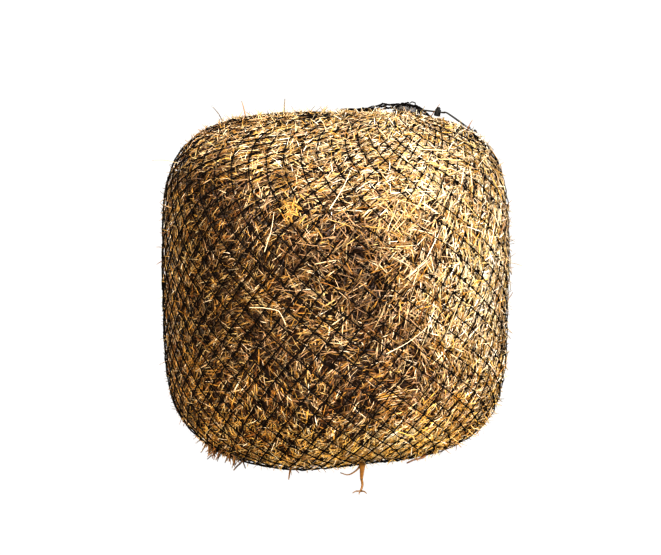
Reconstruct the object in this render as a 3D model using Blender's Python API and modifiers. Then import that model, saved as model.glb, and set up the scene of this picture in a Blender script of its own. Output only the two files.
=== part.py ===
"""A round straw bale closed in a black hay net: netting, drawcord, cord lock, base closure and seam.

Metres, +Z up. The bale stands on its flat end on z = 0, with its axis on x = y = 0. The netting lies
on the bale's skin, is closed under the foot by a cord, and is gathered into a neck at the back right
of the top, where the drawcord is wound round it and runs through a sprung cord lock.
"""

import math

import bmesh
import bpy
from mathutils import Matrix, Vector

# ---- the bale
BALE_RADIUS = 0.590
WAIST_HEIGHT = 0.450          # height of the widest ring
LOWER_DEPTH = 0.470           # half height of the lower curve, cut off flat by the foot
UPPER_HEIGHT = 0.690          # height of the upper curve above the widest ring
SETTLE = 0.40                 # how fast the top falls away in front of and behind its crest
SETTLE_CREST = 0.20           # where the crest runs, in Y
LOWER_ROUNDNESS = 3.80        # superellipse exponent of the lower edge, higher is squarer
LOWER_LEAN = -0.12            # the lower edge is squarer on the right (+X) by this much
TUCK = 1.30                   # and rounder where it is drawn in at the front, by this much
TUCK_ANGLE = math.radians(-70)
TUCK_NARROWNESS = 6
UPPER_ROUNDNESS = 4.9
SHOULDER_TURN = math.radians(60)   # where the flank ends and the crown begins
SEGMENTS = 48

# ---- the netting
TWINE = 0.005                 # thickness of the knotted twine, and so of the skins
GAP = 0.0003                  # between touching pieces
FOOT_HEIGHT = TWINE + GAP     # the straw stands on the netting
MOUTH = Vector((0.250, 0.270))     # plan position of the gathered neck
MOUTH_SHIFT_POWER = 1.2
MOUTH_HOLE = 0.036
NECK_RADIUS = 0.026
RUFFLE_REACH = 0.076          # from the neck to the edge of the loose meshes
RUFFLE_LEAN = 0.034           # extra reach on the ruffle's long side
RUFFLE_LEAN_ANGLE = math.radians(200)
RUFFLE_FOLDS = 9

# ---- the drawcord and its lock
CORD = 0.005
CORD_OFFSET = 0.0029          # each of the two cords from the middle of the slot
WINDING_LAYERS = 4
WINDING_ROWS = 4
LOCK = Vector((0.353, 0.190))      # plan position of the cord lock
LOCK_CLEARANCE = 0.0030       # between the housing and the netting, as the cords hold it
LOCK_TRAVEL = 0.014           # how far the lock slides out along the cords
STRAIGHT_SPARE = 0.015        # straight cord beyond that
PRESS_TRAVEL = 0.004
HOUSING_RADIUS = 0.011
HOUSING_BOTTOM = -0.0145      # heights in the lock, from the middle of the slot
HOUSING_TOP = 0.0085
BORE_BOTTOM = -0.0125
PLUNGER_RADIUS = 0.0076
PLUNGER_CLEARANCE = 0.0002
PLUNGER_BOTTOM = -0.0055
PLUNGER_TOP = 0.0175
SLOT_WIDTH = 0.0120
SLOT_HEIGHT = 0.0058
SPRING_RADIUS = 0.0055
SPRING_WIRE = 0.0009
SPRING_TURNS = 4
KNOT_RADIUS = 0.0062

# ---- the base closure and the seam
CLOSING_RING = 0.036
CLOSING_CORD = 0.0044
SEAM_CORD = 0.004
SEAM_SWAY = 0.006
SEAM_STANDOFF = 0.0018
SEAM_ANGLE = math.pi / 2      # up the back
SEAM_START = -0.86            # share of the flank, above the foot

ROUTE_STEP = 0.012            # between the points of a cord


def clear_scene():
    for obj in list(bpy.data.objects):
        bpy.data.objects.remove(obj, do_unlink=True)


def new_collection(name):
    collection = bpy.data.collections.new(name)
    bpy.context.scene.collection.children.link(collection)
    return collection


def new_material(name, colour, roughness, metallic=0.0):
    material = bpy.data.materials.new(name)
    material.use_nodes = True
    shader = material.node_tree.nodes["Principled BSDF"]
    shader.inputs["Base Color"].default_value = (*colour, 1.0)
    shader.inputs["Roughness"].default_value = roughness
    shader.inputs["Metallic"].default_value = metallic
    return material


clear_scene()
PARTS = new_collection("hay_net")
CUTTERS = new_collection("cutters")
STRAW = new_material("straw", (0.62, 0.44, 0.19), 0.75)
TWINE_BLACK = new_material("twine", (0.018, 0.017, 0.018), 0.7)
CORD_BLACK = new_material("drawcord", (0.014, 0.014, 0.015), 0.6)
LOCK_BLACK = new_material("cord_lock", (0.012, 0.012, 0.013), 0.4)
SPRING_STEEL = new_material("spring", (0.62, 0.62, 0.60), 0.3, 1.0)


# ---- the surface that everything lies on

def outward(angle):
    return Vector((math.cos(angle), math.sin(angle), 0))


def lower_roundness(angle):
    tuck = ((1 + math.cos(angle - TUCK_ANGLE)) / 2) ** TUCK_NARROWNESS
    return LOWER_ROUNDNESS - LOWER_LEAN * math.cos(angle) - TUCK * tuck


def rim_turn(angle):
    """Where on the lower curve the flat foot cuts it off."""
    drop = (WAIST_HEIGHT - FOOT_HEIGHT) / LOWER_DEPTH
    return math.acos(drop ** (lower_roundness(angle) / 2))


def foot_point(share, angle):
    """The flat foot: 0 in the middle, 1 at its rim."""
    radius = BALE_RADIUS * math.sin(rim_turn(angle)) ** (2 / lower_roundness(angle))
    return outward(angle) * radius * share + Vector((0, 0, FOOT_HEIGHT))


def settled(rise, y):
    """The height of a place on the upper curve, which has slumped towards the front and the back."""
    return WAIST_HEIGHT + UPPER_HEIGHT * rise - SETTLE * ((y - SETTLE_CREST) * rise) ** 2


def flank_point(share, angle):
    """The side: -1 at the foot's rim, 0 at the widest ring, 1 at the shoulder."""
    if share <= 0:
        power = 2 / lower_roundness(angle)
        start = rim_turn(angle)
        turn = start + (share + 1) * (math.pi / 2 - start)
        height = WAIST_HEIGHT - LOWER_DEPTH * max(math.cos(turn), 0) ** power
    else:
        power = 2 / UPPER_ROUNDNESS
        turn = math.pi / 2 - share * (math.pi / 2 - SHOULDER_TURN)
        radius = BALE_RADIUS * math.sin(turn) ** power
        height = settled(math.cos(turn) ** power, radius * math.sin(angle))
    return outward(angle) * BALE_RADIUS * math.sin(turn) ** power + Vector((0, 0, height))


def crown_height(x, y):
    ratio = math.hypot(x, y) / BALE_RADIUS
    return settled((1 - ratio ** UPPER_ROUNDNESS) ** (1 / UPPER_ROUNDNESS), y)


def shoulder_radius():
    return BALE_RADIUS * math.sin(SHOULDER_TURN) ** (2 / UPPER_ROUNDNESS)


def crown_point(share, angle):
    """The top: 1 at the shoulder, 0 at the mouth, on rings whose middle moves over to the mouth."""
    way = min((1 - share) / (1 - MOUTH_HOLE / shoulder_radius()), 1.0)
    middle = MOUTH * way ** MOUTH_SHIFT_POWER
    x = middle.x + shoulder_radius() * share * math.cos(angle)
    y = middle.y + shoulder_radius() * share * math.sin(angle)
    return Vector((x, y, crown_height(x, y)))


def crown_normal(x, y):
    step = 0.001
    slope_x = (crown_height(x + step, y) - crown_height(x - step, y)) / (2 * step)
    slope_y = (crown_height(x, y + step) - crown_height(x, y - step)) / (2 * step)
    return Vector((-slope_x, -slope_y, 1)).normalized()


def above_crown(place, height):
    """A point at a height above the netting that covers the top."""
    surface = Vector((place[0], place[1], crown_height(*place)))
    return surface + crown_normal(*place) * (GAP + TWINE + height)


# ---- makers

def finish(obj, material):
    for collection in list(obj.users_collection):
        collection.objects.unlink(obj)
    PARTS.objects.link(obj)
    obj.data.materials.clear()
    obj.data.materials.append(material)
    if obj.type == "MESH":
        obj.data.shade_smooth()
        obj.data.set_sharp_from_angle(angle=math.radians(40))
    return obj


def mesh_object(name, bm, material):
    mesh = bpy.data.meshes.new(name)
    bm.normal_update()
    bm.to_mesh(mesh)
    bm.free()
    return finish(bpy.data.objects.new(name, mesh), material)


def loft(rings, closed_start=False, closed_end=False):
    """Faces between rings of points, each ring running the same way round."""
    bm = bmesh.new()
    loops = [[bm.verts.new(point) for point in ring] for ring in rings]
    count = len(loops[0])
    for lower, upper in zip(loops, loops[1:]):
        for i in range(count):
            j = (i + 1) % count
            bm.faces.new((lower[i], lower[j], upper[j], upper[i]))
    if closed_start:
        middle = bm.verts.new(sum((v.co for v in loops[0]), Vector()) / count)
        for i in range(count):
            bm.faces.new((loops[0][(i + 1) % count], loops[0][i], middle))
    if closed_end:
        middle = bm.verts.new(sum((v.co for v in loops[-1]), Vector()) / count)
        for i in range(count):
            bm.faces.new((loops[-1][i], loops[-1][(i + 1) % count], middle))
    bm.normal_update()
    return bm


def surface_rings(surface, shares):
    angles = [2 * math.pi * i / SEGMENTS for i in range(SEGMENTS)]
    return [[surface(share, angle) for angle in angles] for share in shares]


def skin(name, rings):
    """A netting skin: an open surface just off the straw, thickened outwards."""
    bm = loft(rings)
    moves = [(v, v.normal * GAP) for v in bm.verts]
    for vert, move in moves:
        vert.co += move
    obj = mesh_object(name, bm, TWINE_BLACK)
    solidify = obj.modifiers.new("thickness", "SOLIDIFY")
    solidify.thickness = TWINE
    solidify.offset = 1.0
    solidify.use_even_offset = False
    return obj


def smooth_route(points, step=ROUTE_STEP):
    """Points a step apart on a Catmull-Rom curve through the given points."""
    ends = [2 * points[0] - points[1], *points, 2 * points[-1] - points[-2]]
    fine = []
    for a, b, c, d in zip(ends, ends[1:], ends[2:], ends[3:]):
        for k in range(24):
            t = k / 24
            fine.append(0.5 * (2 * b + (c - a) * t + (2 * a - 5 * b + 4 * c - d) * t * t
                               + (3 * b - a - 3 * c + d) * t ** 3))
    fine.append(points[-1])
    lengths = [0.0]
    for a, b in zip(fine, fine[1:]):
        lengths.append(lengths[-1] + (b - a).length)
    count = max(2, round(lengths[-1] / step))
    route, k = [], 0
    for i in range(count + 1):
        want = lengths[-1] * i / count
        while k < len(fine) - 2 and lengths[k + 1] < want:
            k += 1
        part = (want - lengths[k]) / max(lengths[k + 1] - lengths[k], 1e-9)
        route.append(fine[k].lerp(fine[k + 1], min(part, 1.0)))
    return route


def tube(name, route, diameter, material, taper=None):
    """A POLY spline through the route; taper gives each point's share of the diameter."""
    curve = bpy.data.curves.new(name, "CURVE")
    curve.dimensions = "3D"
    curve.bevel_depth = diameter / 2
    curve.bevel_resolution = 2
    curve.use_fill_caps = True
    spline = curve.splines.new("POLY")
    spline.points.add(len(route) - 1)
    for i, (point, place) in enumerate(zip(spline.points, route)):
        point.co = (*place, 1.0)
        point.radius = taper(i / (len(route) - 1)) if taper else 1.0
    return finish(bpy.data.objects.new(name, curve), material)


def turned(name, profile, steps):
    """A profile of (radius, height) pairs from top to bottom on the outer side, turned about Z."""
    bm = bmesh.new()
    verts = [bm.verts.new((radius, 0, height)) for radius, height in profile]
    for a, b in zip(verts, verts[1:]):
        bm.edges.new((a, b))
    mesh = bpy.data.meshes.new(name)
    bm.to_mesh(mesh)
    bm.free()
    obj = bpy.data.objects.new(name, mesh)
    screw = obj.modifiers.new("turn", "SCREW")
    screw.steps = steps
    screw.render_steps = steps
    screw.use_merge_vertices = True
    screw.merge_threshold = 0.00001
    return obj


def applied(obj):
    """The object's evaluated mesh as its own mesh."""
    PARTS.objects.link(obj)
    bpy.context.view_layer.update()
    graph = bpy.context.evaluated_depsgraph_get()
    mesh = bpy.data.meshes.new_from_object(obj.evaluated_get(graph))
    name = obj.name
    bpy.data.objects.remove(obj, do_unlink=True)
    return bpy.data.objects.new(name, mesh)


def ellipsoid(name, centre, radii, material):
    """A rounded lump: a pulled-tight knot."""
    bm = bmesh.new()
    made = bmesh.ops.create_uvsphere(bm, u_segments=14, v_segments=9, radius=1.0)
    bmesh.ops.scale(bm, vec=radii, verts=made["verts"])
    obj = mesh_object(name, bm, material)
    obj.location = centre
    return obj


def empty(name, matrix):
    obj = bpy.data.objects.new(name, None)
    obj.empty_display_size = 0.02
    PARTS.objects.link(obj)
    obj.matrix_world = matrix
    return obj


def parented(obj, parent):
    """Placed in the parent's own space."""
    obj.parent = parent
    return obj


def frame_matrix(origin, z_axis, x_hint):
    z_axis = z_axis.normalized()
    x_axis = (x_hint - z_axis * x_hint.dot(z_axis)).normalized()
    y_axis = z_axis.cross(x_axis)
    return Matrix.Translation(origin) @ Matrix((x_axis, y_axis, z_axis)).transposed().to_4x4()


# ---- the bale and its netting

FOOT_SHARES = [0.35, 0.70, 1.0]
FLANK_SHARES = [-1.0, -0.84, -0.69, -0.54, -0.38, -0.20, 0.0, 0.36, 0.62, 0.83, 1.0]
CROWN_SHARES = [1.0, 0.945, 0.885, 0.81, 0.72, 0.59, 0.44, 0.28]
EDGE = 0.0015                 # share by which a skin stops short of its zone's end


def straw_bale():
    rings = surface_rings(foot_point, FOOT_SHARES)
    rings += surface_rings(flank_point, FLANK_SHARES[1:])
    rings += surface_rings(crown_point, CROWN_SHARES[1:] + [MOUTH_HOLE / shoulder_radius()])
    bm = loft(rings, closed_start=True, closed_end=True)
    return mesh_object("straw_bale", bm, STRAW)


def netting_side():
    shares = [-1.0 + EDGE, *FLANK_SHARES[1:-1], 1.0 - EDGE]
    return skin("netting_side", surface_rings(flank_point, shares))


def netting_top():
    shares = [1.0 - EDGE, *CROWN_SHARES[1:], MOUTH_HOLE / shoulder_radius()]
    return skin("netting_top", surface_rings(crown_point, shares))


def netting_base():
    """The flat skin under the foot, with a hole in the middle for the closing cord."""
    hole = CLOSING_RING + CLOSING_CORD / 2 + GAP
    inner = [outward(2 * math.pi * i / SEGMENTS) * hole + Vector((0, 0, FOOT_HEIGHT))
             for i in range(SEGMENTS)]
    rings = [inner, *surface_rings(foot_point, [0.5, 1.0 - EDGE])]
    return skin("netting_base", rings)


def mouth_axes():
    """An empty on the middle of the gathered mouth, its Z square to the netting there."""
    normal = crown_normal(*MOUTH)
    return empty("mouth_axes", frame_matrix(above_crown(MOUTH, 0), normal, Vector((1, 0, 0))))


def netting_ruffle(mouth):
    """The neck of gathered meshes and the loose ruffle above the drawcord: a folded mushroom."""
    profile = [
        (0.0, 0.034), (0.014, 0.036), (0.032, 0.043), (0.054, 0.047), (0.078, 0.044), (0.100, 0.035),
        (0.102, 0.031), (0.078, 0.038), (0.054, 0.041), (0.036, 0.036), (NECK_RADIUS, 0.029),
        (NECK_RADIUS, 0.004), (NECK_RADIUS, -TWINE), (0.0, -TWINE),
    ]
    obj = applied(turned("netting_ruffle", profile, 54))
    for vert in obj.data.vertices:
        radius = math.hypot(vert.co.x, vert.co.y)
        if radius < NECK_RADIUS + 0.002:
            continue
        angle = math.atan2(vert.co.y, vert.co.x)
        out = (radius - NECK_RADIUS) / (0.102 - NECK_RADIUS)
        reach = RUFFLE_REACH + RUFFLE_LEAN * math.cos(angle - RUFFLE_LEAN_ANGLE)
        scale = (NECK_RADIUS + out * reach) / radius
        vert.co.x *= scale
        vert.co.y *= scale
        vert.co.z += 0.006 * out * math.sin(RUFFLE_FOLDS * angle)
    return parented(finish(obj, TWINE_BLACK), mouth)


def winding_radii():
    inner = NECK_RADIUS + 0.0025
    outer = inner + CORD * (1 + (WINDING_LAYERS - 1) * math.sqrt(3) / 2)
    return inner, outer


def drawcord_winding(mouth):
    """The drawcord's turns round the neck, as one ring of their outer shape."""
    inner, outer = winding_radii()
    middle, half = (inner + outer) / 2, (outer - inner) / 2
    low = 2 * GAP
    high = low + WINDING_ROWS * CORD
    centre, rise = (low + high) / 2, (high - low) / 2
    profile = []
    for i in range(16):
        turn = -2 * math.pi * i / 16
        x = math.copysign(abs(math.cos(turn)) ** 0.5, math.cos(turn))
        z = math.copysign(abs(math.sin(turn)) ** 0.5, math.sin(turn))
        profile.append((middle + half * x, centre + rise * z))
    profile.append(profile[0])
    obj = applied(turned("drawcord_winding", profile, 40))
    return parented(finish(obj, CORD_BLACK), mouth)


# ---- the cord lock

def lock_matrix():
    """Origin in the middle of the slot, X along the cords and away from the neck, Z up the plunger."""
    height = -HOUSING_BOTTOM + LOCK_CLEARANCE
    origin = above_crown(LOCK, height)
    run = origin - above_crown(MOUTH, height)
    normal = crown_normal(*LOCK)
    z_axis = (normal - run.normalized() * normal.dot(run.normalized())).normalized()
    return frame_matrix(origin, z_axis, run)


def slot_cutter(name, low, high):
    bpy.ops.mesh.primitive_cube_add(size=1.0)
    cutter = bpy.context.object
    cutter.name = name
    cutter.data.transform(Matrix.Translation((0, 0, (low + high) / 2))
                          @ Matrix.Diagonal((0.06, SLOT_WIDTH, high - low, 1.0)))
    for collection in list(cutter.users_collection):
        collection.objects.unlink(cutter)
    CUTTERS.objects.link(cutter)
    cutter.hide_render = True
    cutter.display_type = "WIRE"
    return cutter


def cut(obj, cutter, parent):
    parented(cutter, parent)
    boolean = obj.modifiers.new("slot", "BOOLEAN")
    boolean.operation = "DIFFERENCE"
    boolean.object = cutter
    return obj


def cord_lock_housing(lock):
    """A turned barrel with a blind bore for the plunger and a slot across it for the two cords."""
    bore = PLUNGER_RADIUS + PLUNGER_CLEARANCE
    edge = 0.002
    profile = [
        (bore, HOUSING_TOP), (HOUSING_RADIUS - edge, HOUSING_TOP),
        (HOUSING_RADIUS - 0.3 * edge, HOUSING_TOP - 0.3 * edge), (HOUSING_RADIUS, HOUSING_TOP - edge),
        (HOUSING_RADIUS, HOUSING_BOTTOM + edge),
        (HOUSING_RADIUS - 0.3 * edge, HOUSING_BOTTOM + 0.3 * edge),
        (HOUSING_RADIUS - edge, HOUSING_BOTTOM), (0.0, HOUSING_BOTTOM),
    ]
    profile += [(0.0, BORE_BOTTOM), (bore, BORE_BOTTOM), (bore, HOUSING_TOP)]
    obj = finish(applied(turned("cord_lock_housing", profile, 40)), LOCK_BLACK)
    parented(obj, lock)
    cutter = slot_cutter("housing_slot", -SLOT_HEIGHT / 2, SLOT_HEIGHT / 2)
    return cut(obj, cutter, lock)


def cord_lock_plunger(lock):
    """The round button: its slot is taller than the cords by its travel."""
    profile = [
        (0.0, PLUNGER_TOP), (0.0035, PLUNGER_TOP - 0.0004), (0.0060, PLUNGER_TOP - 0.0016),
        (0.0072, PLUNGER_TOP - 0.0032), (PLUNGER_RADIUS, PLUNGER_TOP - 0.0050),
        (PLUNGER_RADIUS, PLUNGER_BOTTOM), (0.0, PLUNGER_BOTTOM),
    ]
    obj = finish(applied(turned("cord_lock_plunger", profile, 36)), LOCK_BLACK)
    parented(obj, lock)
    low = -CORD / 2 - GAP
    cutter = slot_cutter("plunger_slot", low, -low + PRESS_TRAVEL + GAP)
    return cut(obj, cutter, lock)


def cord_lock_spring(lock):
    """The coil spring between the bore's floor and the plunger."""
    low = BORE_BOTTOM + SPRING_WIRE / 2 + GAP
    high = PLUNGER_BOTTOM - SPRING_WIRE / 2 - GAP
    count = SPRING_TURNS * 12
    route = []
    for i in range(count + 1):
        turn = 2 * math.pi * SPRING_TURNS * i / count
        route.append(outward(turn) * SPRING_RADIUS + Vector((0, 0, low + (high - low) * i / count)))
    return parented(tube("cord_lock_spring", route, SPRING_WIRE, SPRING_STEEL), lock)


# ---- the drawcord's two tails

def tail_route(lock, side, ends):
    """From the winding, straight through the lock and its travel, then down onto the netting.

    side is the cord's offset in the slot; ends are the last points, as plan place and height above
    the netting.
    """
    start = winding_radii()[1] + 0.001 - (LOCK - MOUTH).length
    straight_end = HOUSING_RADIUS + LOCK_TRAVEL + STRAIGHT_SPARE
    along = [start, start / 2, 0.0, straight_end / 2, straight_end - STRAIGHT_SPARE, straight_end]
    points = [lock @ Vector((x, side, 0)) for x in along]
    points += [above_crown(place, height) for place, height in ends]
    return points


TAILS = {
    "drawcord_tail_front": (-CORD_OFFSET, [((0.424, 0.122), 0.0072), ((0.438, 0.098), 0.0032),
                                           ((0.446, 0.072), 0.0032), ((0.448, 0.046), 0.0032)]),
    "drawcord_tail_back": (CORD_OFFSET, [((0.433, 0.137), 0.0075), ((0.452, 0.122), 0.0032),
                                         ((0.470, 0.104), 0.0032)]),
}


def drawcord_tails(lock_place):
    for name, (side, ends) in TAILS.items():
        route = smooth_route(tail_route(lock_place, side, ends))
        tube(name, route, CORD, CORD_BLACK)
        tip = (route[-1] - route[-2]).normalized()
        centre = route[-1] + tip * (KNOT_RADIUS + GAP)
        lift = crown_normal(centre.x, centre.y) * (KNOT_RADIUS - CORD / 2)
        knot = name.replace("drawcord_tail", "tail_knot")
        ellipsoid(knot, centre + lift, (KNOT_RADIUS, KNOT_RADIUS, KNOT_RADIUS), CORD_BLACK)


# ---- the base closure and the seam

def base_closing_cord():
    bpy.ops.mesh.primitive_torus_add(
        major_segments=36, minor_segments=8, major_radius=CLOSING_RING, minor_radius=CLOSING_CORD / 2)
    obj = bpy.context.object
    obj.name = "base_closing_cord"
    obj.location = (0, 0, FOOT_HEIGHT / 2)
    return finish(obj, CORD_BLACK)


def base_closing_knot():
    """The cord's knot, pulled flat inside its ring."""
    radii = (0.009, 0.007, CLOSING_CORD / 2)
    centre = Vector((CLOSING_RING - CLOSING_CORD / 2 - GAP - radii[0], 0, FOOT_HEIGHT / 2))
    return ellipsoid("base_closing_knot", centre, radii, CORD_BLACK)


def seam_line(position):
    """A place up the back, 0 just above the foot and 1 near the mouth, and the way out there."""
    flank_part = 0.62
    def place(value):
        if value < flank_part:
            return flank_point(SEAM_START + value / flank_part * (1 - SEAM_START), SEAM_ANGLE)
        return crown_point(1 - 0.72 * (value - flank_part) / (1 - flank_part), SEAM_ANGLE)
    point = place(position)
    along = place(min(position + 0.004, 1.0)) - place(max(position - 0.004, 0.0))
    return point, along.cross(Vector((1, 0, 0))).normalized()


def seam_lacing():
    """The cord that laces the two edges of the netting together, in a close zigzag up the back."""
    count = 64
    route = []
    for i in range(count + 1):
        point, out = seam_line(i / count)
        sway = SEAM_SWAY * (1 if i % 2 else -1)
        route.append(point + out * (TWINE + GAP + SEAM_STANDOFF + SEAM_CORD / 2) + Vector((sway, 0, 0)))
    tube("seam_lacing", route, SEAM_CORD, TWINE_BLACK)
    return route


def seam_end_knots(route):
    """A knot where the lacing starts and one where it ends."""
    radius = 0.0055
    ends = (("seam_knot_low", 0, route[0], route[1]), ("seam_knot_high", 1, route[-1], route[-2]))
    for name, position, tip, inner in ends:
        lift = seam_line(position)[1] * (radius - SEAM_CORD / 2)
        centre = tip + lift + (tip - inner).normalized() * (radius + GAP)
        ellipsoid(name, centre, (radius, radius, radius), TWINE_BLACK)


# ---- the largest straws that have worked out through the meshes

def on_flank(x, height, lift):
    """A point on the front of the netting at a height, lifted off it."""
    share = flank_share(height)
    angle = -math.pi / 2
    for _ in range(6):
        ring = flank_point(share, angle)
        radius = math.hypot(ring.x, ring.y)
        angle = -math.acos(max(-1, min(1, x / radius)))
    point = flank_point(share, angle)
    above = flank_point(min(share + 0.01, 1.0), angle)
    below = flank_point(max(share - 0.01, -1.0), angle)
    around = flank_point(share, angle + 0.01) - flank_point(share, angle - 0.01)
    out = around.cross(above - below).normalized()
    return point + out * (GAP + TWINE + lift)


def flank_share(height):
    low, high = -1.0, 1.0
    for _ in range(40):
        middle = (low + high) / 2
        if flank_point(middle, -math.pi / 2).z < height:
            low = middle
        else:
            high = middle
    return (low + high) / 2


def stalk_taper(share):
    return 1.0 - 0.45 * share


def loose_straws(place, stalks, diameter):
    for number, points in enumerate(stalks, start=1):
        route = smooth_route(points, step=0.018)
        tube(f"loose_straw_{place}_{number}", route, diameter, STRAW, stalk_taper)


def base_stalks():
    """Stalks that hang out of the lower meshes at the front and droop to the ground."""
    ground = 0.0042
    stalks = []
    for x, reach, bend in ((-0.395, 0.050, -0.030), (-0.290, 0.065, -0.035), (-0.145, 0.055, -0.006),
                           (0.085, 0.120, -0.008), (0.285, 0.075, -0.050)):
        start = on_flank(x, 0.050, 0.006)
        stalks.append([
            start,
            start + Vector((0.2 * bend, -0.30 * reach, -0.006)),
            Vector((start.x + 0.6 * bend, start.y - 0.65 * reach, start.z * 0.45)),
            Vector((start.x + bend, start.y - reach, ground)),
        ])
    loose_straws("base", stalks, 0.007)


def front_stalks():
    """Stalks lying across the meshes in the middle of the front."""
    lift = 0.0036
    spans = (((-0.250, 0.604), (-0.205, 0.612), (-0.168, 0.575)),
             ((-0.020, 0.900), (0.020, 0.955), (0.045, 1.000)),
             ((-0.215, 0.770), (-0.195, 0.830), (-0.188, 0.890)),
             ((0.150, 0.470), (0.215, 0.500), (0.275, 0.540)))
    stalks = [[on_flank(x, height, lift) for x, height in span] for span in spans]
    loose_straws("front", stalks, 0.005)


def top_stalks():
    """Thin stalks that stand up out of the top near its back edge."""
    stalks = []
    for x, y, lean, rise in ((-0.395, 0.160, -0.035, 0.050), (-0.320, 0.245, -0.012, 0.052),
                             (-0.185, 0.300, 0.004, 0.048), (0.445, 0.020, 0.016, 0.034)):
        foot = above_crown((x, y), 0.004)
        stalks.append([foot, foot + Vector((0.4 * lean, 0, 0.5 * rise)),
                       foot + Vector((lean, 0, rise))])
    loose_straws("top", stalks, 0.0035)


def build():
    straw_bale()
    netting_side()
    netting_top()
    netting_base()
    mouth = mouth_axes()
    netting_ruffle(mouth)
    drawcord_winding(mouth)
    lock_place = lock_matrix()
    lock_axes = empty("lock_slide_axis", lock_place)
    cord_lock_housing(lock_axes)
    plunger_axis = empty("plunger_axis", lock_place)
    cord_lock_plunger(plunger_axis)
    cord_lock_spring(lock_axes)
    drawcord_tails(lock_place)
    base_closing_cord()
    base_closing_knot()
    seam_end_knots(seam_lacing())
    base_stalks()
    front_stalks()
    top_stalks()


build()
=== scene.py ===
"""Looks of the round straw bale in its black hay net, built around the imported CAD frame.

Metres, +Z up, in the CAD part's own frame. The surfaces, the mouth, the cord lock and the cords'
routes repeat the CAD source's numbers.
"""

import math

import bpy
import numpy as np
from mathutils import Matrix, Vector
from mathutils.kdtree import KDTree


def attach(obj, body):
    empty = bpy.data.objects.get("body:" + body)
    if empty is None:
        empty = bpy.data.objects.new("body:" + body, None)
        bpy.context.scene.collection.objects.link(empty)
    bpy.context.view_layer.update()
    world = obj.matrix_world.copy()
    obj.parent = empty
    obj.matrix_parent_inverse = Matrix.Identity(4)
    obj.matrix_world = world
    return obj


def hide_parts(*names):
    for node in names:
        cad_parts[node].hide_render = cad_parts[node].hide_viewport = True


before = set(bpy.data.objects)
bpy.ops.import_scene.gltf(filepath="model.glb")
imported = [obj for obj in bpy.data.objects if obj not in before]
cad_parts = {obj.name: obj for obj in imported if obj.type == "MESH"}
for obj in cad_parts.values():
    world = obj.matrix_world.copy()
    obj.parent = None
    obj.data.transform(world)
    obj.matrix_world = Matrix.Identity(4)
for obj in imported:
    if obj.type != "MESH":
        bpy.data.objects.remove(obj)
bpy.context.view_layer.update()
ROOT = "net_and_bale"

# ---- the bale, as in the CAD source
BALE_RADIUS = 0.590
WAIST_HEIGHT = 0.450
LOWER_DEPTH = 0.470
UPPER_HEIGHT = 0.690
SETTLE = 0.40
SETTLE_CREST = 0.20
LOWER_ROUNDNESS = 3.80
LOWER_LEAN = -0.12
TUCK = 1.30
TUCK_ANGLE = math.radians(-70)
TUCK_NARROWNESS = 6
UPPER_ROUNDNESS = 4.9
SHOULDER_TURN = math.radians(60)
TWINE_ROOM = 0.005
GAP = 0.0003
FOOT_HEIGHT = TWINE_ROOM + GAP
MOUTH = np.array((0.250, 0.270))
MOUTH_SHIFT_POWER = 1.2
MOUTH_HOLE = 0.036
NECK_RADIUS = 0.026
CORD = 0.005
CORD_OFFSET = 0.0029
WINDING_LAYERS = 4
WINDING_ROWS = 4
LOCK = np.array((0.353, 0.190))
LOCK_CLEARANCE = 0.0030
LOCK_TRAVEL = 0.014
STRAIGHT_SPARE = 0.015
HOUSING_RADIUS = 0.011
HOUSING_BOTTOM = -0.0145
KNOT_RADIUS = 0.0062
CLOSING_RING = 0.036
CLOSING_CORD = 0.0044
SEAM_CORD = 0.004
SEAM_SWAY = 0.006
SEAM_STANDOFF = 0.0018
SEAM_START = -0.86
SEAM_ANGLE = math.pi / 2

# ---- the netting's meshes
COLUMNS = 51
BAR = 0.052                   # from knot to knot
TWINE = 0.0042
NET_LIFT = 0.0042             # the twine's middle above the straw's skin
FLOOR_CLEARANCE = 0.0003      # under the lowest twine and knots
ROW_WAVE = 0.084              # how far the rows rise and fall from the left to the right side
COLUMN_TWIST = -0.238         # how far the columns turn round the bale, in radians to the metre
ROW_STEP = math.sqrt(BAR ** 2 - (math.pi * BALE_RADIUS / COLUMNS) ** 2)


# ---- camera

CAMERA_ELEVATION = math.radians(12)
CAMERA_DISTANCE = 4.6
CAMERA_AIM = Vector((-0.018, 0.013, 0.5825))
CAMERA_LENS = 72.2


def make_camera():
    data = bpy.data.cameras.new("camera")
    data.sensor_width = 36
    data.lens = CAMERA_LENS
    data.clip_start, data.clip_end = 0.1, 200
    camera = bpy.data.objects.new("camera", data)
    bpy.context.scene.collection.objects.link(camera)
    back = Vector((0, -math.cos(CAMERA_ELEVATION), math.sin(CAMERA_ELEVATION)))
    camera.location = CAMERA_AIM + back * CAMERA_DISTANCE
    camera.rotation_euler = (-back).to_track_quat("-Z", "Y").to_euler()
    bpy.context.scene.camera = camera


make_camera()


# ---- small helpers

DOWN = np.array((0.0, 0.0, -1.0))


def unit(v):
    return v / np.maximum(np.linalg.norm(v, axis=-1, keepdims=True), 1e-12)


def smoothstep(low, high, x):
    t = np.clip((x - low) / (high - low), 0, 1)
    return t * t * (3 - 2 * t)


def noise(points, scale, seed):
    """Smooth value noise from -1 to 1 at points of any shape (..., 3)."""
    q = points * scale + seed * 17.31
    cell = np.floor(q)
    f = q - cell
    f = f * f * (3 - 2 * f)
    total = np.zeros(points.shape[:-1])
    for dx in (0, 1):
        for dy in (0, 1):
            for dz in (0, 1):
                corner = cell + (dx, dy, dz)
                mixed = corner @ np.array((127.1, 311.7, 74.7)) + seed * 13.7
                value = np.mod(np.sin(mixed) * 43758.5453, 1.0)
                weight = (f[..., 0] if dx else 1 - f[..., 0]) * (f[..., 1] if dy else 1 - f[..., 1])
                total += value * weight * (f[..., 2] if dz else 1 - f[..., 2])
    return total * 2 - 1


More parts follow.
